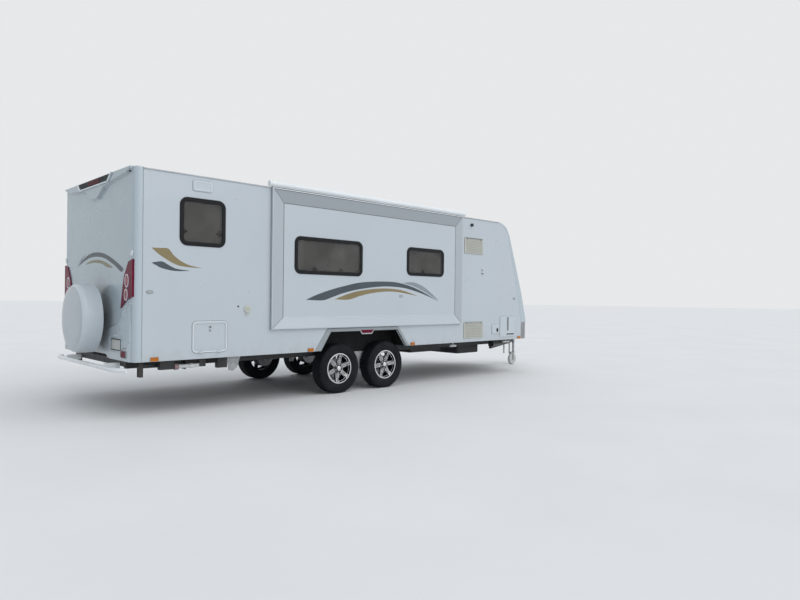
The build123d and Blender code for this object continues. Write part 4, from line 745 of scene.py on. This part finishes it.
bolts = [turned(bolt, back(PLATE_Y + dy, PLATE_Z, 0.0195), 12) for dy in (-0.125, 0.125)]
piece("plate_bolts", bolts, chrome)


# Marker lamps: amber ribbed lenses along the lower wall edges, each in a grey base,
# and a red marker in a bright bezel over the middle of each wheel arch.
amber = grained("amber_lens", (0.50, 0.155, 0.006), 0.25, patch=30.0, vary=0.2, coat=0.2, shine=0.3)
ribs = step(amber, "ShaderNodeTexWave", [("Vector", place_of(amber)), ("Scale", 90.0)], bands_direction="X")
relief(amber, ribs.outputs["Fac"], 0.0006)
dress(amber, "amber_lamps")
# Columns: side, X from the rear
MARKERS = [(-1, 0.235), (-1, 2.43), (-1, 4.45), (-1, 7.40), (1, 0.235), (1, 2.43), (1, 5.22), (1, 7.40)]
amber_bases = []
for side, x in MARKERS:
    at = wall(side, x, BODY_LOW + 0.027, -0.0005)
    amber_bases.append(rim((0.102, 0.056, 0.012), (0.088, 0.044, 0.008), 0.006, at))
piece("marker_bases", amber_bases, rail_alloy, edge=0.001)
ARCH_LAMP = [(-0.150, 0.034), (-0.100, -0.034), (0.100, -0.034), (0.150, 0.034)]
arch_bezels, arch_lenses = [], []
for side in (-1, 1):
    at = wall(side, 3.460, 0.897, 0.0115)
    arch_bezels.append(slab(ARCH_LAMP, 0.005, at))
    arch_lenses.append(slab([(x * 0.88, z * 0.70 + 0.007) for x, z in ARCH_LAMP], 0.010, at))
piece("arch_lamp_bezels", arch_bezels, rail_alloy, edge=0.002)
piece("arch_lamp_lenses", arch_lenses, red_lens, edge=0.003)


# Wheel arches: grey moulded trims on the walls, and black liners of folded sheet inside.
# A galvanised hanger plate with three pins stands between the wheels, under a black cheek.
trim_grey = grained("arch_trim_grey", (0.30, 0.335, 0.355), 0.42, patch=5.0, vary=0.08, depth=0.0003)
dress(trim_grey, "arch_trims")
liner_black = grained(
    "liner_black", (0.010, 0.010, 0.011), 0.85, patch=5.0, vary=0.4, grain=120.0, depth=0.0006
)
dress(liner_black, "wheel_boxes")
zinc = grained("galvanised", (0.36, 0.37, 0.38), 0.45, patch=22.0, vary=0.25, metal=0.85)
dress(zinc, "suspension", "jockey_tube", "jockey_stem", "jockey_fork", "safety_chains")
dress(grained("steady_brown", (0.050, 0.045, 0.043), 0.6, patch=12.0, vary=0.3), "floor_brackets")
# Lower edge of an arch trim. Columns: X from the rear, Z
ARCH_EDGE = [(2.61, 0.648), (2.78, 0.910), (4.10, 0.910), (4.30, 0.648)]
arch_edges = []
for side in (-1, 1):
    arch_edges.append(pipe([(REAR + x, side * (HALF + 0.0125), z) for x, z in ARCH_EDGE], 0.004))
piece("arch_edge_beads", arch_edges, frame_black)
# Hanger plate outline. Columns: X from the rear, Z
HANGER = [(3.45, 0.575), (3.71, 0.575), (3.70, 0.520), (3.655, 0.475), (3.650, 0.400), (3.660, 0.330),
          (3.630, 0.270), (3.560, 0.270), (3.550, 0.330), (3.520, 0.400), (3.510, 0.475), (3.47, 0.520)]
HANGER_Y, PIN_X = 0.932, 3.62
cheeks, hangers, pins = [], [], []
for side in (-1, 1):
    cheek_y = sorted((side * 0.912, side * 0.923))
    cheeks.append(bar((REAR + 3.25, REAR + 3.85), cheek_y, (0.535, 0.6455)))
    place = Matrix(((1, 0, 0, REAR), (0, 0, -1, side * HANGER_Y), (0, 1, 0, 0), (0, 0, 0, 1)))
    hangers.append(slab(HANGER, 0.010 * side, place))
    for z in (0.320, 0.385, 0.440):
        at = wall(side, PIN_X, z, HANGER_Y - HALF)
        pins.append(turned([(0.016, 0), (0.016, 0.008), (0.010, 0.010), (0, 0.010)], at, 12))
piece("hanger_cheeks", cheeks, liner_black, edge=0.002)
# The hangers take a paler copy of the galvanised finish: painted light on the plates
lit_hanger_zinc = grained("lit_hanger_zinc", (0.62, 0.64, 0.66), 0.5, patch=24.0, vary=0.2, metal=0.3)
piece("suspension_hangers", hangers, lit_hanger_zinc, edge=0.002)
piece("hanger_pins", pins, frame_black)


# Road wheels: black tyres with rows of tread blocks, on cast alloy wheels with six machined
# spokes over dark painted pockets. A chrome cap fills the middle, inside six wheel nuts.
TYRE_RADIUS, WHEEL_Y = 0.365, 1.065
AXLES = {"rear": 3.022, "front": 3.940}
rubber = grained(
    "tyre_rubber", (0.0075, 0.009, 0.0125), 0.75, patch=14.0, vary=0.22, depth=0.0003, shine=0.2
)
dust = mask(rubber, cloud(rubber, 5.0, detail=6.0), 0.45, 0.75, most=0.15)
overlay(rubber, dust, (0.075, 0.072, 0.066))
dress(rubber, "spare_tyre")
# The outer faces are machined bright. What turns away from the outside stays dark: dark paint in the
# pockets, and painted shade on the wheel's inner side
alloy = finish("machined_alloy", (0.022, 0.024, 0.027), 0.25, metal=1.0)
outward = sums(alloy, "MULTIPLY", facing(alloy, "Y"), sums(alloy, "SIGN", reach(alloy, "Y")))
machined = mask(alloy, outward, 0.86, 0.92)
swirl = ramp(alloy, cloud(alloy, 45.0, detail=3.0), (0.30, (0.20, 0.21, 0.22)), (0.66, (0.74, 0.75, 0.76)))
overlay(alloy, machined, swirl)
into(alloy, "Roughness", ramp(alloy, machined, (0.0, (0.5,) * 3), (1.0, (0.2,) * 3)))
relief(alloy, cloud(alloy, 400.0, detail=1.0), 0.0001)
pocket_dark = grained("wheel_pocket_paint", (0.018, 0.019, 0.021), 0.4, patch=20.0, vary=0.3, coat=0.3)
# Half outline of the tyre from the bead to the tread. Columns: across, radius
TYRE_SIDE = [
    (0.092, 0.2225), (0.098, 0.229), (0.1015, 0.236), (0.1035, 0.246), (0.1075, 0.258), (0.1112, 0.272),
    (0.1122, 0.284), (0.1108, 0.286), (0.1108, 0.290), (0.1122, 0.292), (0.1108, 0.312), (0.1068, 0.332),
    (0.1030, 0.341), (0.0985, 0.349), (0.0910, 0.3565), (0.0820, 0.3600), (0.0700, 0.3610),
]
# The tread blocks' foot and top radius, that of the outer rows, and how much of its pitch one fills
TREAD_FOOT, TREAD_TOP, OUTER_TOP = 0.3565, 0.3648, 0.3632
BLOCK_START, BLOCK_END = 0.10, 0.90
# Tread rows. Columns: centre across, half width, blocks round the tyre, slant
TREAD = [(-0.080, 0.0125, 60, 0.010), (-0.048, 0.0130, 60, -0.008), (0.0, 0.0210, 48, 0.012),
         (0.048, 0.0130, 60, -0.008), (0.080, 0.0125, 60, 0.010)]


def tyre_shapes(place, turns=64):
    """The tyre's skin with its tread blocks, round local Z."""
    line = [(radius, across) for across, radius in TYRE_SIDE]
    line = [(radius, -across) for radius, across in line] + [(0.361, 0.0)]
    line += [(radius, across) for across, radius in reversed(TYRE_SIDE)]
    shapes = [turned(line, place, turns)]
    points, faces = [], []
    for centre, half, count, slant in TREAD:
        top = TREAD_TOP if abs(centre) < 0.06 else OUTER_TOP
        for i in range(count):
            start = len(points)
            for radius in (TREAD_FOOT, top):
                for z, shift in ((centre - half, -slant), (centre + half, slant)):
                    for part in (BLOCK_START, BLOCK_END):
                        angle = 2 * math.pi * (i + part) / count + shift
                        spot = (radius * math.cos(angle), radius * math.sin(angle), z)
                        points.append(place @ Vector(spot))
            faces += [
                tuple(start + k for k in ring)
                for ring in ((4, 5, 7, 6), (0, 1, 5, 4), (3, 2, 6, 7), (1, 3, 7, 5), (2, 0, 4, 6))
            ]
    return shapes + [(points, faces)]


# Machined face of a spoke. Columns: radius, height, half width, depth of the groove along it
SPOKE = [(0.070, 0.0640, 0.0150, 0.001), (0.105, 0.0665, 0.0150, 0.003), (0.150, 0.0735, 0.0185, 0.005),
         (0.185, 0.0815, 0.0240, 0.006), (0.2105, 0.0890, 0.0330, 0.004)]
# Across the spoke. Columns: share of the half width, share of the groove
ACROSS = [(-1.0, 0.0), (-0.55, 0.0), (-0.30, 1.0), (0.30, 1.0), (0.55, 0.0), (1.0, 0.0)]


def spoke_face(place):
    """A spoke's front: two ridges that part towards the rim, with a groove between them."""
    points, faces, row = [], [], 2 * len(ACROSS)
    for radius, height, half, groove in SPOKE:
        for share, sunk in ACROSS:
            points.append(place @ Vector((radius, share * half, height - sunk * groove)))
        for share, sunk in reversed(ACROSS):
            points.append(place @ Vector((radius, share * half * 1.12, height - 0.014)))
    for i in range(len(SPOKE) - 1):
        for k in range(row):
            a, b = i * row + k, i * row + (k + 1) % row
            faces.append((b, a, a + row, b + row))
    last = (len(SPOKE) - 1) * row
    return points, faces + [tuple(range(row)), tuple(reversed(range(last, last + row)))]


# Turned profiles of the small round pieces. Columns: radius, height out from the wheel's middle
RIM_LIP = [(0.2225, 0.0905), (0.2225, 0.0925), (0.216, 0.0932), (0.2095, 0.0925), (0.207, 0.0885),
           (0.2085, 0.0865)]
HUB_DISH = [(0.079, 0.0585), (0.079, 0.0622), (0.070, 0.0624), (0.045, 0.0707), (0.036, 0.0735),
            (0.036, 0.070)]
HUB_CAP = [(0.0350, 0.068), (0.0350, 0.0800), (0.0325, 0.0850), (0.026, 0.0875), (0.013, 0.0880),
           (0.011, 0.0862), (0, 0.0862)]
NUT = [(0.0095, 0), (0.0095, 0.012), (0.0070, 0.0155), (0, 0.0165)]
NUT_CIRCLE, NUT_SEAT = 0.0575, 0.0630
# How far the spokes of each axle's wheels stand turned, in degrees
SPOKE_TURN = {"rear": 20, "front": 5}
for axle, x in AXLES.items():
    for side, name in ((-1, "right"), (1, "left")):
        corner, body = f"{axle}_{name}", f"wheel_{axle}_{name}"
        middle = wall(side, x, TYRE_RADIUS, WHEEL_Y - HALF)
        dress(alloy, f"rim_{corner}")
        tyre = piece(f"tyre_tread_{corner}", tyre_shapes(middle), rubber, body, sharp=28)
        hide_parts(f"tyre_{corner}")
        piece(f"rim_lip_{corner}", [turned(RIM_LIP, middle, 64)], chrome, body)
        piece(f"hub_dish_{corner}", [turned(HUB_DISH, middle, 40)], pocket_dark, body)
        piece(f"hub_cap_{corner}", [turned(HUB_CAP, middle, 32)], chrome, body)
        nuts, spokes = [], []
        for i in range(6):
            angle = math.radians(60 * i + 20)
            x_out, y_out = NUT_CIRCLE * math.cos(angle), NUT_CIRCLE * math.sin(angle)
            nuts.append(turned(NUT, out_from(middle, NUT_SEAT, x_out, y_out), 6))
            angle = math.radians(SPOKE_TURN[axle] + 60 * i)
            at = middle @ Matrix.Rotation(angle if side < 0 else math.pi - angle, 4, "Z")
            spokes.append(spoke_face(at))
        piece(f"wheel_nuts_{corner}", nuts, chrome, body, sharp=25)
        piece(f"spoke_faces_{corner}", spokes, alloy, body, sharp=20)


# Spare wheel: a hard white drum cover over the spare tyre, with a black trim round its edge
# next to the body and a small boss in the middle of its face.
COVER_WHITE, COVER_FACE_SHADE = (0.56, 0.62, 0.67), (0.415, 0.475, 0.510)
cover_white = body_white("cover_white", 0.30, 3.0, 0.04, white=COVER_WHITE)
# The cover's flat rear face is painted darker than its drum, as shade
overlay(cover_white, mask(cover_white, facing(cover_white, "X", -1.0), 0.75, 0.97), COVER_FACE_SHADE)
dress(cover_white, "spare_cover")
SPARE_Y, SPARE_Z, COVER_RADIUS = -0.19, 1.12, 0.42
TRIM_INNER, TRIM_OUTER = COVER_RADIUS - 0.016, COVER_RADIUS - 0.0005
rim_trim = [(TRIM_INNER, 0.106), (TRIM_OUTER, 0.106), (TRIM_OUTER, 0.112), (TRIM_INNER, 0.112)]
spare_centre = back(SPARE_Y, SPARE_Z)
piece("spare_cover_trim", [turned(rim_trim, spare_centre, 72, closed=True)], seal_black)
boss = [(0.030, 0.346), (0.028, 0.3475), (0.012, 0.3478), (0, 0.3478)]
piece("spare_cover_boss", [turned(boss, spare_centre, 24)], cover_white)


# Bumper: a white painted tube across the rear on two arms, with capped ends.
# Stones have chipped the paint here and there down to the brown primer.
tube_white = grained("bumper_white", (0.80, 0.84, 0.86), 0.30, patch=9.0, vary=0.04, coat=0.2)
dress(tube_white, "bumper")
overlay(tube_white, mask(tube_white, cloud(tube_white, 60.0, detail=6.0), 0.80, 0.83), (0.20, 0.17, 0.15))


# Vents and covers: two cream moulded fridge vents with slots, and white plates for the hood's
# vent, the mains inlet, the heater and the left wall's locker. They are screwed to the sheet,
# and most have a lock or latch.
cover_paint = grained("cover_plastic", (0.465, 0.475, 0.425), 0.5, patch=6.0, vary=0.04)
near_vents = sums(cover_paint, "COMPARE", reach(cover_paint, "X"), REAR + 6.00, 0.32)
overlay(cover_paint, sums(cover_paint, "SUBTRACT", 1.0, near_vents), (0.53, 0.585, 0.63))
dress(cover_paint, "wall_covers")
dark_gap = grained("dark_gap", (0.015, 0.015, 0.016), 0.7, patch=20.0, vary=0.3)
# A darker cream that paints the shade inside the fridge vents' slots
slot_shade_cream = grained("slot_shade_cream", (0.385, 0.39, 0.35), 0.6, patch=9.0, vary=0.1)
latch_steel = grained("latch_steel", (0.22, 0.235, 0.245), 0.45, patch=30.0, vary=0.15, metal=0.3)


def round_lock(radius, at):
    """The barrel of a round lock, and its key slot."""
    barrel = turned([(radius, 0), (radius, 0.004), (radius * 0.8, 0.0055), (0, 0.0055)], at, 20)
    return barrel, slab(rounded(radius * 0.28, radius * 1.1, radius * 0.12, 3), 0.0075, at)


# Covers with a dark line round them, painted shade in the gap at each cover's edge; the fridge vents first.
# Columns: side, rear X, front X, low Z, high Z
COVERS = [
    (-1, 5.73, 6.25, 2.22, 2.50),
    (-1, 5.73, 6.27, 0.71, 1.00),
    (-1, 0.68, 0.93, 2.67, 2.80),
    (-1, 6.54, 6.77, 0.77, 0.94),
    (-1, 6.79, 7.25, 0.70, 1.09),
    (1, 6.10, 6.56, 0.71, 1.07),
]
# How far the cover plates stand out from the wall, less what a piece sinks into them
COVER_OUT = 0.0085
cover_shade_lines, gaps, latches, lips, slots = [], [], [], [], []
for side, x0, x1, z0, z1 in COVERS:
    at = wall(side, (x0 + x1) / 2, (z0 + z1) / 2, -0.0005)
    width, height = x1 - x0, z1 - z0
    cover_shade_lines.append(rim((width + 0.007, height + 0.007, 0.0235), (width, height, 0.02), 0.0016, at))
# Latches and locks of the covers. Columns: side, X, Z, radius
LATCHES = [(-1, 5.80, 2.475, 0.009), (-1, 6.18, 2.475, 0.009), (-1, 5.80, 0.978, 0.009),
           (-1, 6.20, 0.978, 0.009), (1, 6.33, 1.035, 0.014)]
for side, x, z, radius in LATCHES:
    barrel, key_slot = round_lock(radius, wall(side, x, z, 0.008))
    latches.append(barrel)
    gaps.append(key_slot)
# Heater cover: a tall dark slot and a low dark slot, each under a moulded lip
heater_slots = []
for x0, x1, z0, z1 in ((7.005, 7.050, 0.815, 1.075), (6.985, 7.225, 0.735, 0.765)):
    at = wall(-1, (x0 + x1) / 2, (z0 + z1) / 2, COVER_OUT)
    width, height = x1 - x0, z1 - z0
    heater_slots.append(tile((width, height, 0.008), 0.0012, at))
    lips.append(rim((width + 0.02, height + 0.02, 0.014), (width, height, 0.008), 0.006, at))
inlet, hood_vent = wall(-1, 6.655, 0.855, COVER_OUT), wall(-1, 0.805, 2.735, COVER_OUT)
lips.append(rim((0.205, 0.145, 0.018), (0.185, 0.125, 0.012), 0.005, inlet))
lips.append(rim((0.225, 0.105, 0.016), (0.205, 0.085, 0.010), 0.005, hood_vent))
for side, x0, x1, z0, z1 in COVERS[:2]:
    for i in range(9):
        z = z0 + (z1 - z0) * (i + 1) / 10
        slots.append(bar((REAR + x0 + 0.042, REAR + x1 - 0.042), (-1.2565, -1.2538), (z - 0.005, z + 0.005)))
# Dark strips under the top edges of the fridge vents: painted shade
gaps.append(bar((REAR + 5.75, REAR + 6.23), (-1.2600, -1.2580), (2.488, 2.497)))
cover_shade_lines.append(bar((REAR + 5.75, REAR + 6.25), (-1.2600, -1.2580), (0.987, 0.996)))
piece("vent_slots", slots, slot_shade_cream)
piece("cover_edge_shade", cover_shade_lines, sealant_and_shade)
piece("cover_gaps", gaps, dark_gap)
piece("heater_slots", heater_slots, seal_grey)
inlet_lock = tile((0.045, 0.070, 0.018), 0.009, wall(-1, 6.70, 0.835, COVER_OUT))
piece("inlet_lock", [inlet_lock], dark_gap, edge=0.002)
piece("cover_latches", latches, latch_steel)
piece("cover_lips", lips, bead_white, edge=0.002)


# Small fittings of the right wall: the water filler with its drain lip, the flue cowl, three
# oval lights, the outlet box and a breather, all screwed or clipped to the sheet.
FILLER_X, FILLER_Z = 1.43, 1.25
filler_cream = grained("filler_cream", (0.50, 0.52, 0.47), 0.45, patch=12.0, vary=0.05)
filler = wall(-1, FILLER_X, FILLER_Z, 0.0095)
filler_cap = [(0.050, 0), (0.050, 0.003), (0.044, 0.006), (0.030, 0.0065), (0.028, 0.0045), (0, 0.0045)]
filler_shapes = [turned(filler_cap, filler, 36), tile((0.036, 0.010, 0.004), 0.014, filler)]
filler_shapes.append(tile((0.050, 0.022, 0.009), 0.012, wall(-1, FILLER_X, FILLER_Z - 0.068, -0.001)))
piece("water_filler", filler_shapes, filler_cream, edge=0.001)
cowl = [(0.027, -0.028), (0.027, 0.002), (0.020, 0.004), (0, 0.004)]
piece("flue_cowl", [turned(cowl, wall(-1, 5.92, 2.73, 0.029), 24)], dark_gap)
for x, z, body in ((0.175, 1.445, "root"), (4.17, 1.44, "slideout"), (7.24, 1.43, "root")):
    at = wall(-1, x, z, (PANEL_OUT - HALF if body == "slideout" else 0) - 0.001)
    oval = [(u * 0.035 / 0.015, v) for u, v in rounded(0.03, 0.03, 0.0149, 6)]
    base = [(u * 1.22, v * 1.4) for u, v in oval]
    piece(f"light_base_{int(x * 100)}", [slab(base, 0.003, at)], sealant_and_shade, body, edge=0.001)
    piece(f"oval_light_{int(x * 100)}", [slab(oval, 0.008, at)], rail_alloy, body, edge=0.002)
outlet = wall(-1, 6.24, 1.92, -0.001)
outlet_box = tile((0.040, 0.130, 0.010), 0.010, outlet)
piece("outlet_box", [outlet_box], bead_white, edge=0.003)
socket = [tile((0.020, 0.040, 0.006), 0.013, out_from(outlet, 0, y=0.015))]
socket.append(tile((0.036, 0.026, 0.008), 0.018, out_from(outlet, 0, y=-0.044)))
piece("outlet_socket", socket, seal_grey, edge=0.002)
breather = turned([(0.012, 0), (0.012, 0.004), (0, 0.006)], wall(-1, 1.30, 1.28, -0.001), 16)
piece("breather_dot", [breather], catch_black)


# Entry door: a white panel in its frame with a black handle and lock, a pane in a black
# surround, a gasket round the edge and a porch lamp above.
DOOR_X, DOOR_Z = 4.76, (0.68 + 2.48) / 2
gasket = rim((0.640, 1.820, 0.012), (0.622, 1.802, 0.006), 0.0035, wall(1, DOOR_X, DOOR_Z, 0.0002))
piece("door_gasket", [gasket], seal_black)
door_trim = rim((0.440, 0.570, 0.055), (0.392, 0.522, 0.036), 0.010, wall(1, DOOR_X, 2.015, -0.001))
piece("door_pane_trim", [door_trim], frame_black, "entry_door", edge=0.002)
pressing = rim((0.54, 0.62, 0.04), (0.525, 0.605, 0.033), 0.0025, wall(1, DOOR_X, 1.06, -0.0005))
piece("door_pressing", [pressing], sheet_white, "entry_door", edge=0.001)
handle = wall(1, 4.505, 1.53, 0.0118)
door_lock = [rim((0.050, 0.140, 0.012), (0.040, 0.110, 0.010), 0.004, handle)]
lock_barrel = [(0.011, 0), (0.011, 0.006), (0.008, 0.008), (0, 0.008)]
door_lock.append(turned(lock_barrel, out_from(handle, 0, y=-0.050), 18))
piece("door_lock", door_lock, chrome, "entry_door", edge=0.001)
porch = wall(1, DOOR_X, 2.60, -0.001)
porch_lens = tile((0.22, 0.07, 0.02), 0.03, porch)
piece("porch_lamp", [porch_lens], clear_lens, edge=0.008)
porch_base = tile((0.236, 0.086, 0.026), 0.008, porch)
piece("porch_lamp_base", [porch_base], bead_white, edge=0.002)


# Storage hatch doors: the same white panel inside a raised rim in a paler white, which paints the rim's
# highlight, with a grey gasket in the gap round it and a round lock over a small finger pull.
HATCH_X, HATCH_Z = 0.92, 0.91
for side, name in ((-1, "right"), (1, "left")):
    at, body = wall(side, HATCH_X, HATCH_Z), f"hatch_{name}"
    hatch_gasket = rim((0.4715, 0.3915, 0.0557), (0.4605, 0.3805, 0.0502), 0.0012, at)
    piece(f"hatch_gasket_{name}", [hatch_gasket], sealant_and_shade)
    lit_hatch_rim = rim((0.4590, 0.3790, 0.0495), (0.4270, 0.3470, 0.036), 0.0065, at)
    piece(f"lit_hatch_rim_{name}", [lit_hatch_rim], bead_white, body, edge=0.003)
    # Lock and finger pull. Columns: height over the hatch's middle, radius
    locks = [round_lock(radius, wall(side, HATCH_X, HATCH_Z + up, 0.004))
             for up, radius in ((0.120, 0.014), (0.075, 0.009))]
    piece(f"hatch_lock_{name}", [barrel for barrel, key_slot in locks], latch_steel, body)
    piece(f"hatch_keyhole_{name}", [key_slot for barrel, key_slot in locks], dark_gap, body)


# Roof: hatch lids and the cooler's housing in white moulded plastic, all a little chalky.
# The lids hinge on their frames, and the housing has a dark louvred grille at the rear.
moulded_white = grained("moulded_white", (0.62, 0.66, 0.68), 0.36, patch=4.0, vary=0.04, coat=0.1)
dress(moulded_white, "roof_cooler", "roof_hatch_rear", "roof_hatch_front")
COOLER_X, COOLER_HALF = REAR + 3.65, 0.49
grille = []
for i in range(5):
    z = BODY_TOP + 0.035 + i * 0.026
    x = COOLER_X - COOLER_HALF + 0.055
    grille.append(bar((x, x + 0.004), (-0.158, 0.158), (z + 0.001, z + 0.011)))
piece("cooler_grille", grille, dark_gap)
for name, x in (("rear", 1.5), ("front", 5.9)):
    at = Matrix.Translation((REAR + x, 0, BODY_TOP + 0.0585))
    pressing = tile((0.34, 0.34, 0.05), 0.0012, at)
    piece(f"lid_pressing_{name}", [pressing], moulded_white, f"roof_lid_{name}", edge=0.0005)


# Awning on the door side: a cloth rolled up in a ribbed white casing, with ribbed aluminium
# arms that lie folded against the wall.
awning_white = grained("awning_white", (0.64, 0.68, 0.70), 0.34, patch=5.0, vary=0.04)
dress(awning_white, "awning")
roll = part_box("awning")
ROLL_Y, ROLL_Z, ROLL_RADIUS = 1.303, 2.778, 0.0415
roll_lines = []
for angle in (20, 60, 100):
    y = ROLL_Y + ROLL_RADIUS * math.cos(math.radians(angle))
    z = ROLL_Z + ROLL_RADIUS * math.sin(math.radians(angle))
    roll_lines.append(pipe([(roll[0].x + 0.035, y, z), (roll[1].x - 0.035, y, z)], 0.0016, 6))
piece("awning_ribs", roll_lines, rail_alloy)
arm_ribs = []
for x in (roll[0].x + 0.017, roll[1].x - 0.017):
    for dx in (-0.008, 0.008):
        arm_ribs.append(bar((x + dx - 0.002, x + dx + 0.002), (1.2795, 1.2815), (1.05, 2.70)))
    arm_ribs.append(bar((x - 0.020, x + 0.020), (1.2505, 1.283), (1.62, 1.66)))
piece("awning_arm_ribs", arm_ribs, rail_alloy)


# Under the floor: chassis rails in a near-black finish that paints their shade, water tanks, corner steadies
# and the entry step, with the waste pipe and its cap behind the wheels and two short drains ahead of them.
# Near-black steel: on the galvanised chassis rails this is painted shade under the floor
black_steel = grained("black_steel", (0.020, 0.021, 0.023), 0.5, patch=6.0, vary=0.35)
dress(black_steel, "chassis_frame", "drawbar", "coupling", "spare_carrier", "entry_step")
dress(black_steel, "steady_rear_right", "steady_rear_left", "steady_front_right", "steady_front_left")
dress(grained("underfloor", (0.10, 0.10, 0.10), 0.8, patch=4.0, vary=0.2), "floor_panel", "slideout_runners")
dress(grained("tank_plastic", (0.03, 0.03, 0.032), 0.55, patch=8.0, vary=0.2, depth=0.0003), "water_tanks")
PIPE_Y, PIPE_Z = -1.165, 0.562
pipe_white = grained("waste_pipe", (0.56, 0.57, 0.57), 0.4, patch=10.0, vary=0.1)
elbow = [(0.555, PIPE_Y, PIPE_Z), (0.80, PIPE_Y, PIPE_Z), (0.845, -1.155, 0.580), (0.865, -1.15, 0.620),
         (0.870, -1.15, 0.646)]
waste = [pipe([(REAR + x, y, z) for x, y, z in elbow], 0.024, 14)]
waste.append(pipe([(REAR + 0.70, PIPE_Y, PIPE_Z), (REAR + 0.74, PIPE_Y, PIPE_Z)], 0.029, 14))
# Short drains hung under the wall's foot. Columns: rear X, front X, Z
for x0, x1, z in ((5.47, 5.62, 0.585), (7.00, 7.20, 0.600)):
    waste.append(pipe([(REAR + x0, PIPE_Y, z), (REAR + x1, PIPE_Y, z)], 0.020, 14))
    clip = (REAR + (x0 + x1) / 2 - 0.012, REAR + (x0 + x1) / 2 + 0.012)
    waste.append(bar(clip, (-1.170, -1.160), (z, BODY_LOW + 0.002)))
piece("waste_pipe", waste, pipe_white)
cap_red = grained("waste_cap", (0.24, 0.17, 0.175), 0.5, patch=20.0, vary=0.15)
cap_shapes = [pipe([(REAR + 0.505, PIPE_Y, PIPE_Z), (REAR + 0.556, PIPE_Y, PIPE_Z)], 0.038, 16)]
piece("waste_cap", cap_shapes, cap_red, edge=0.003)
# Brackets that hang the pipe. Columns: rear X, front X, low Z
BRACKETS = [(0.325, 0.500, 0.535), (0.815, 0.900, 0.545), (1.055, 1.190, 0.512)]
brackets = [bar((REAR + x0, REAR + x1), (-1.19, -1.118), (z, BODY_LOW)) for x0, x1, z in BRACKETS]
piece("drain_brackets", brackets, black_steel, edge=0.006)
strap = [(1.20, 0.646), (1.40, 0.646), (1.355, 0.50), (1.30, 0.455), (1.235, 0.465)]
strap_place = Matrix(((1, 0, 0, REAR), (0, 0, -1, -1.14), (0, 1, 0, 0), (0, 0, 0, 1)))
piece("tank_strap", [slab(strap, 0.004, strap_place)], zinc, edge=0.001)


# Drawbar: painted gas bottles with round plastic valve wheels on their tray, and the jockey
# wheel's grey rubber tread.
dress(grained("bottle_grey", (0.42, 0.44, 0.45), 0.35, patch=9.0, vary=0.08, coat=0.2), "gas_bottles")
dress(grained("jockey_rubber", (0.50, 0.52, 0.52), 0.6, patch=20.0, vary=0.1), "jockey_wheel")
VALVE_X, VALVE_Y, VALVE_Z = REAR + 7.86, 0.175, 1.030
valve_wheel = [(0, -0.012), (0.022, -0.010), (0.026, 0), (0.022, 0.012), (0, 0.014)]
valve_wheels = []
for side in (-1, 1):
    at = Matrix.Translation((VALVE_X, side * VALVE_Y, VALVE_Z))
    valve_wheels.append(turned(valve_wheel, at, 18))
piece("valve_wheels", valve_wheels, catch_black)


# Stone guard: chequered aluminium plate with raised slanting bars, folded over the foot of the
# front moulding. CHEQUER sets how close the bars stand, in radians for each metre.
CHEQUER = 150.0
guard = finish("chequer_plate", (0.30, 0.31, 0.32), 0.38, metal=0.85)
level_place = sums(guard, "ADD", reach(guard, "Y"), reach(guard, "X"))
diagonals = []
for sign in (1, -1):
    line = sums(guard, "MULTIPLY_ADD", reach(guard, "Z"), sign, level_place)
    diagonals.append(sums(guard, "SINE", sums(guard, "MULTIPLY", line, CHEQUER)))
bars = mask(guard, sums(guard, "MULTIPLY", *diagonals), 0.35, 0.55)
relief(guard, bars, 0.0012)
patchy = ramp(guard, cloud(guard, 8.0), (0.3, (0.22, 0.23, 0.24)), (0.7, (0.34, 0.35, 0.36)))
into(guard, "Base Color", patchy)
overlay(guard, bars, (0.50, 0.51, 0.52))
dress(guard, "stone_guard")
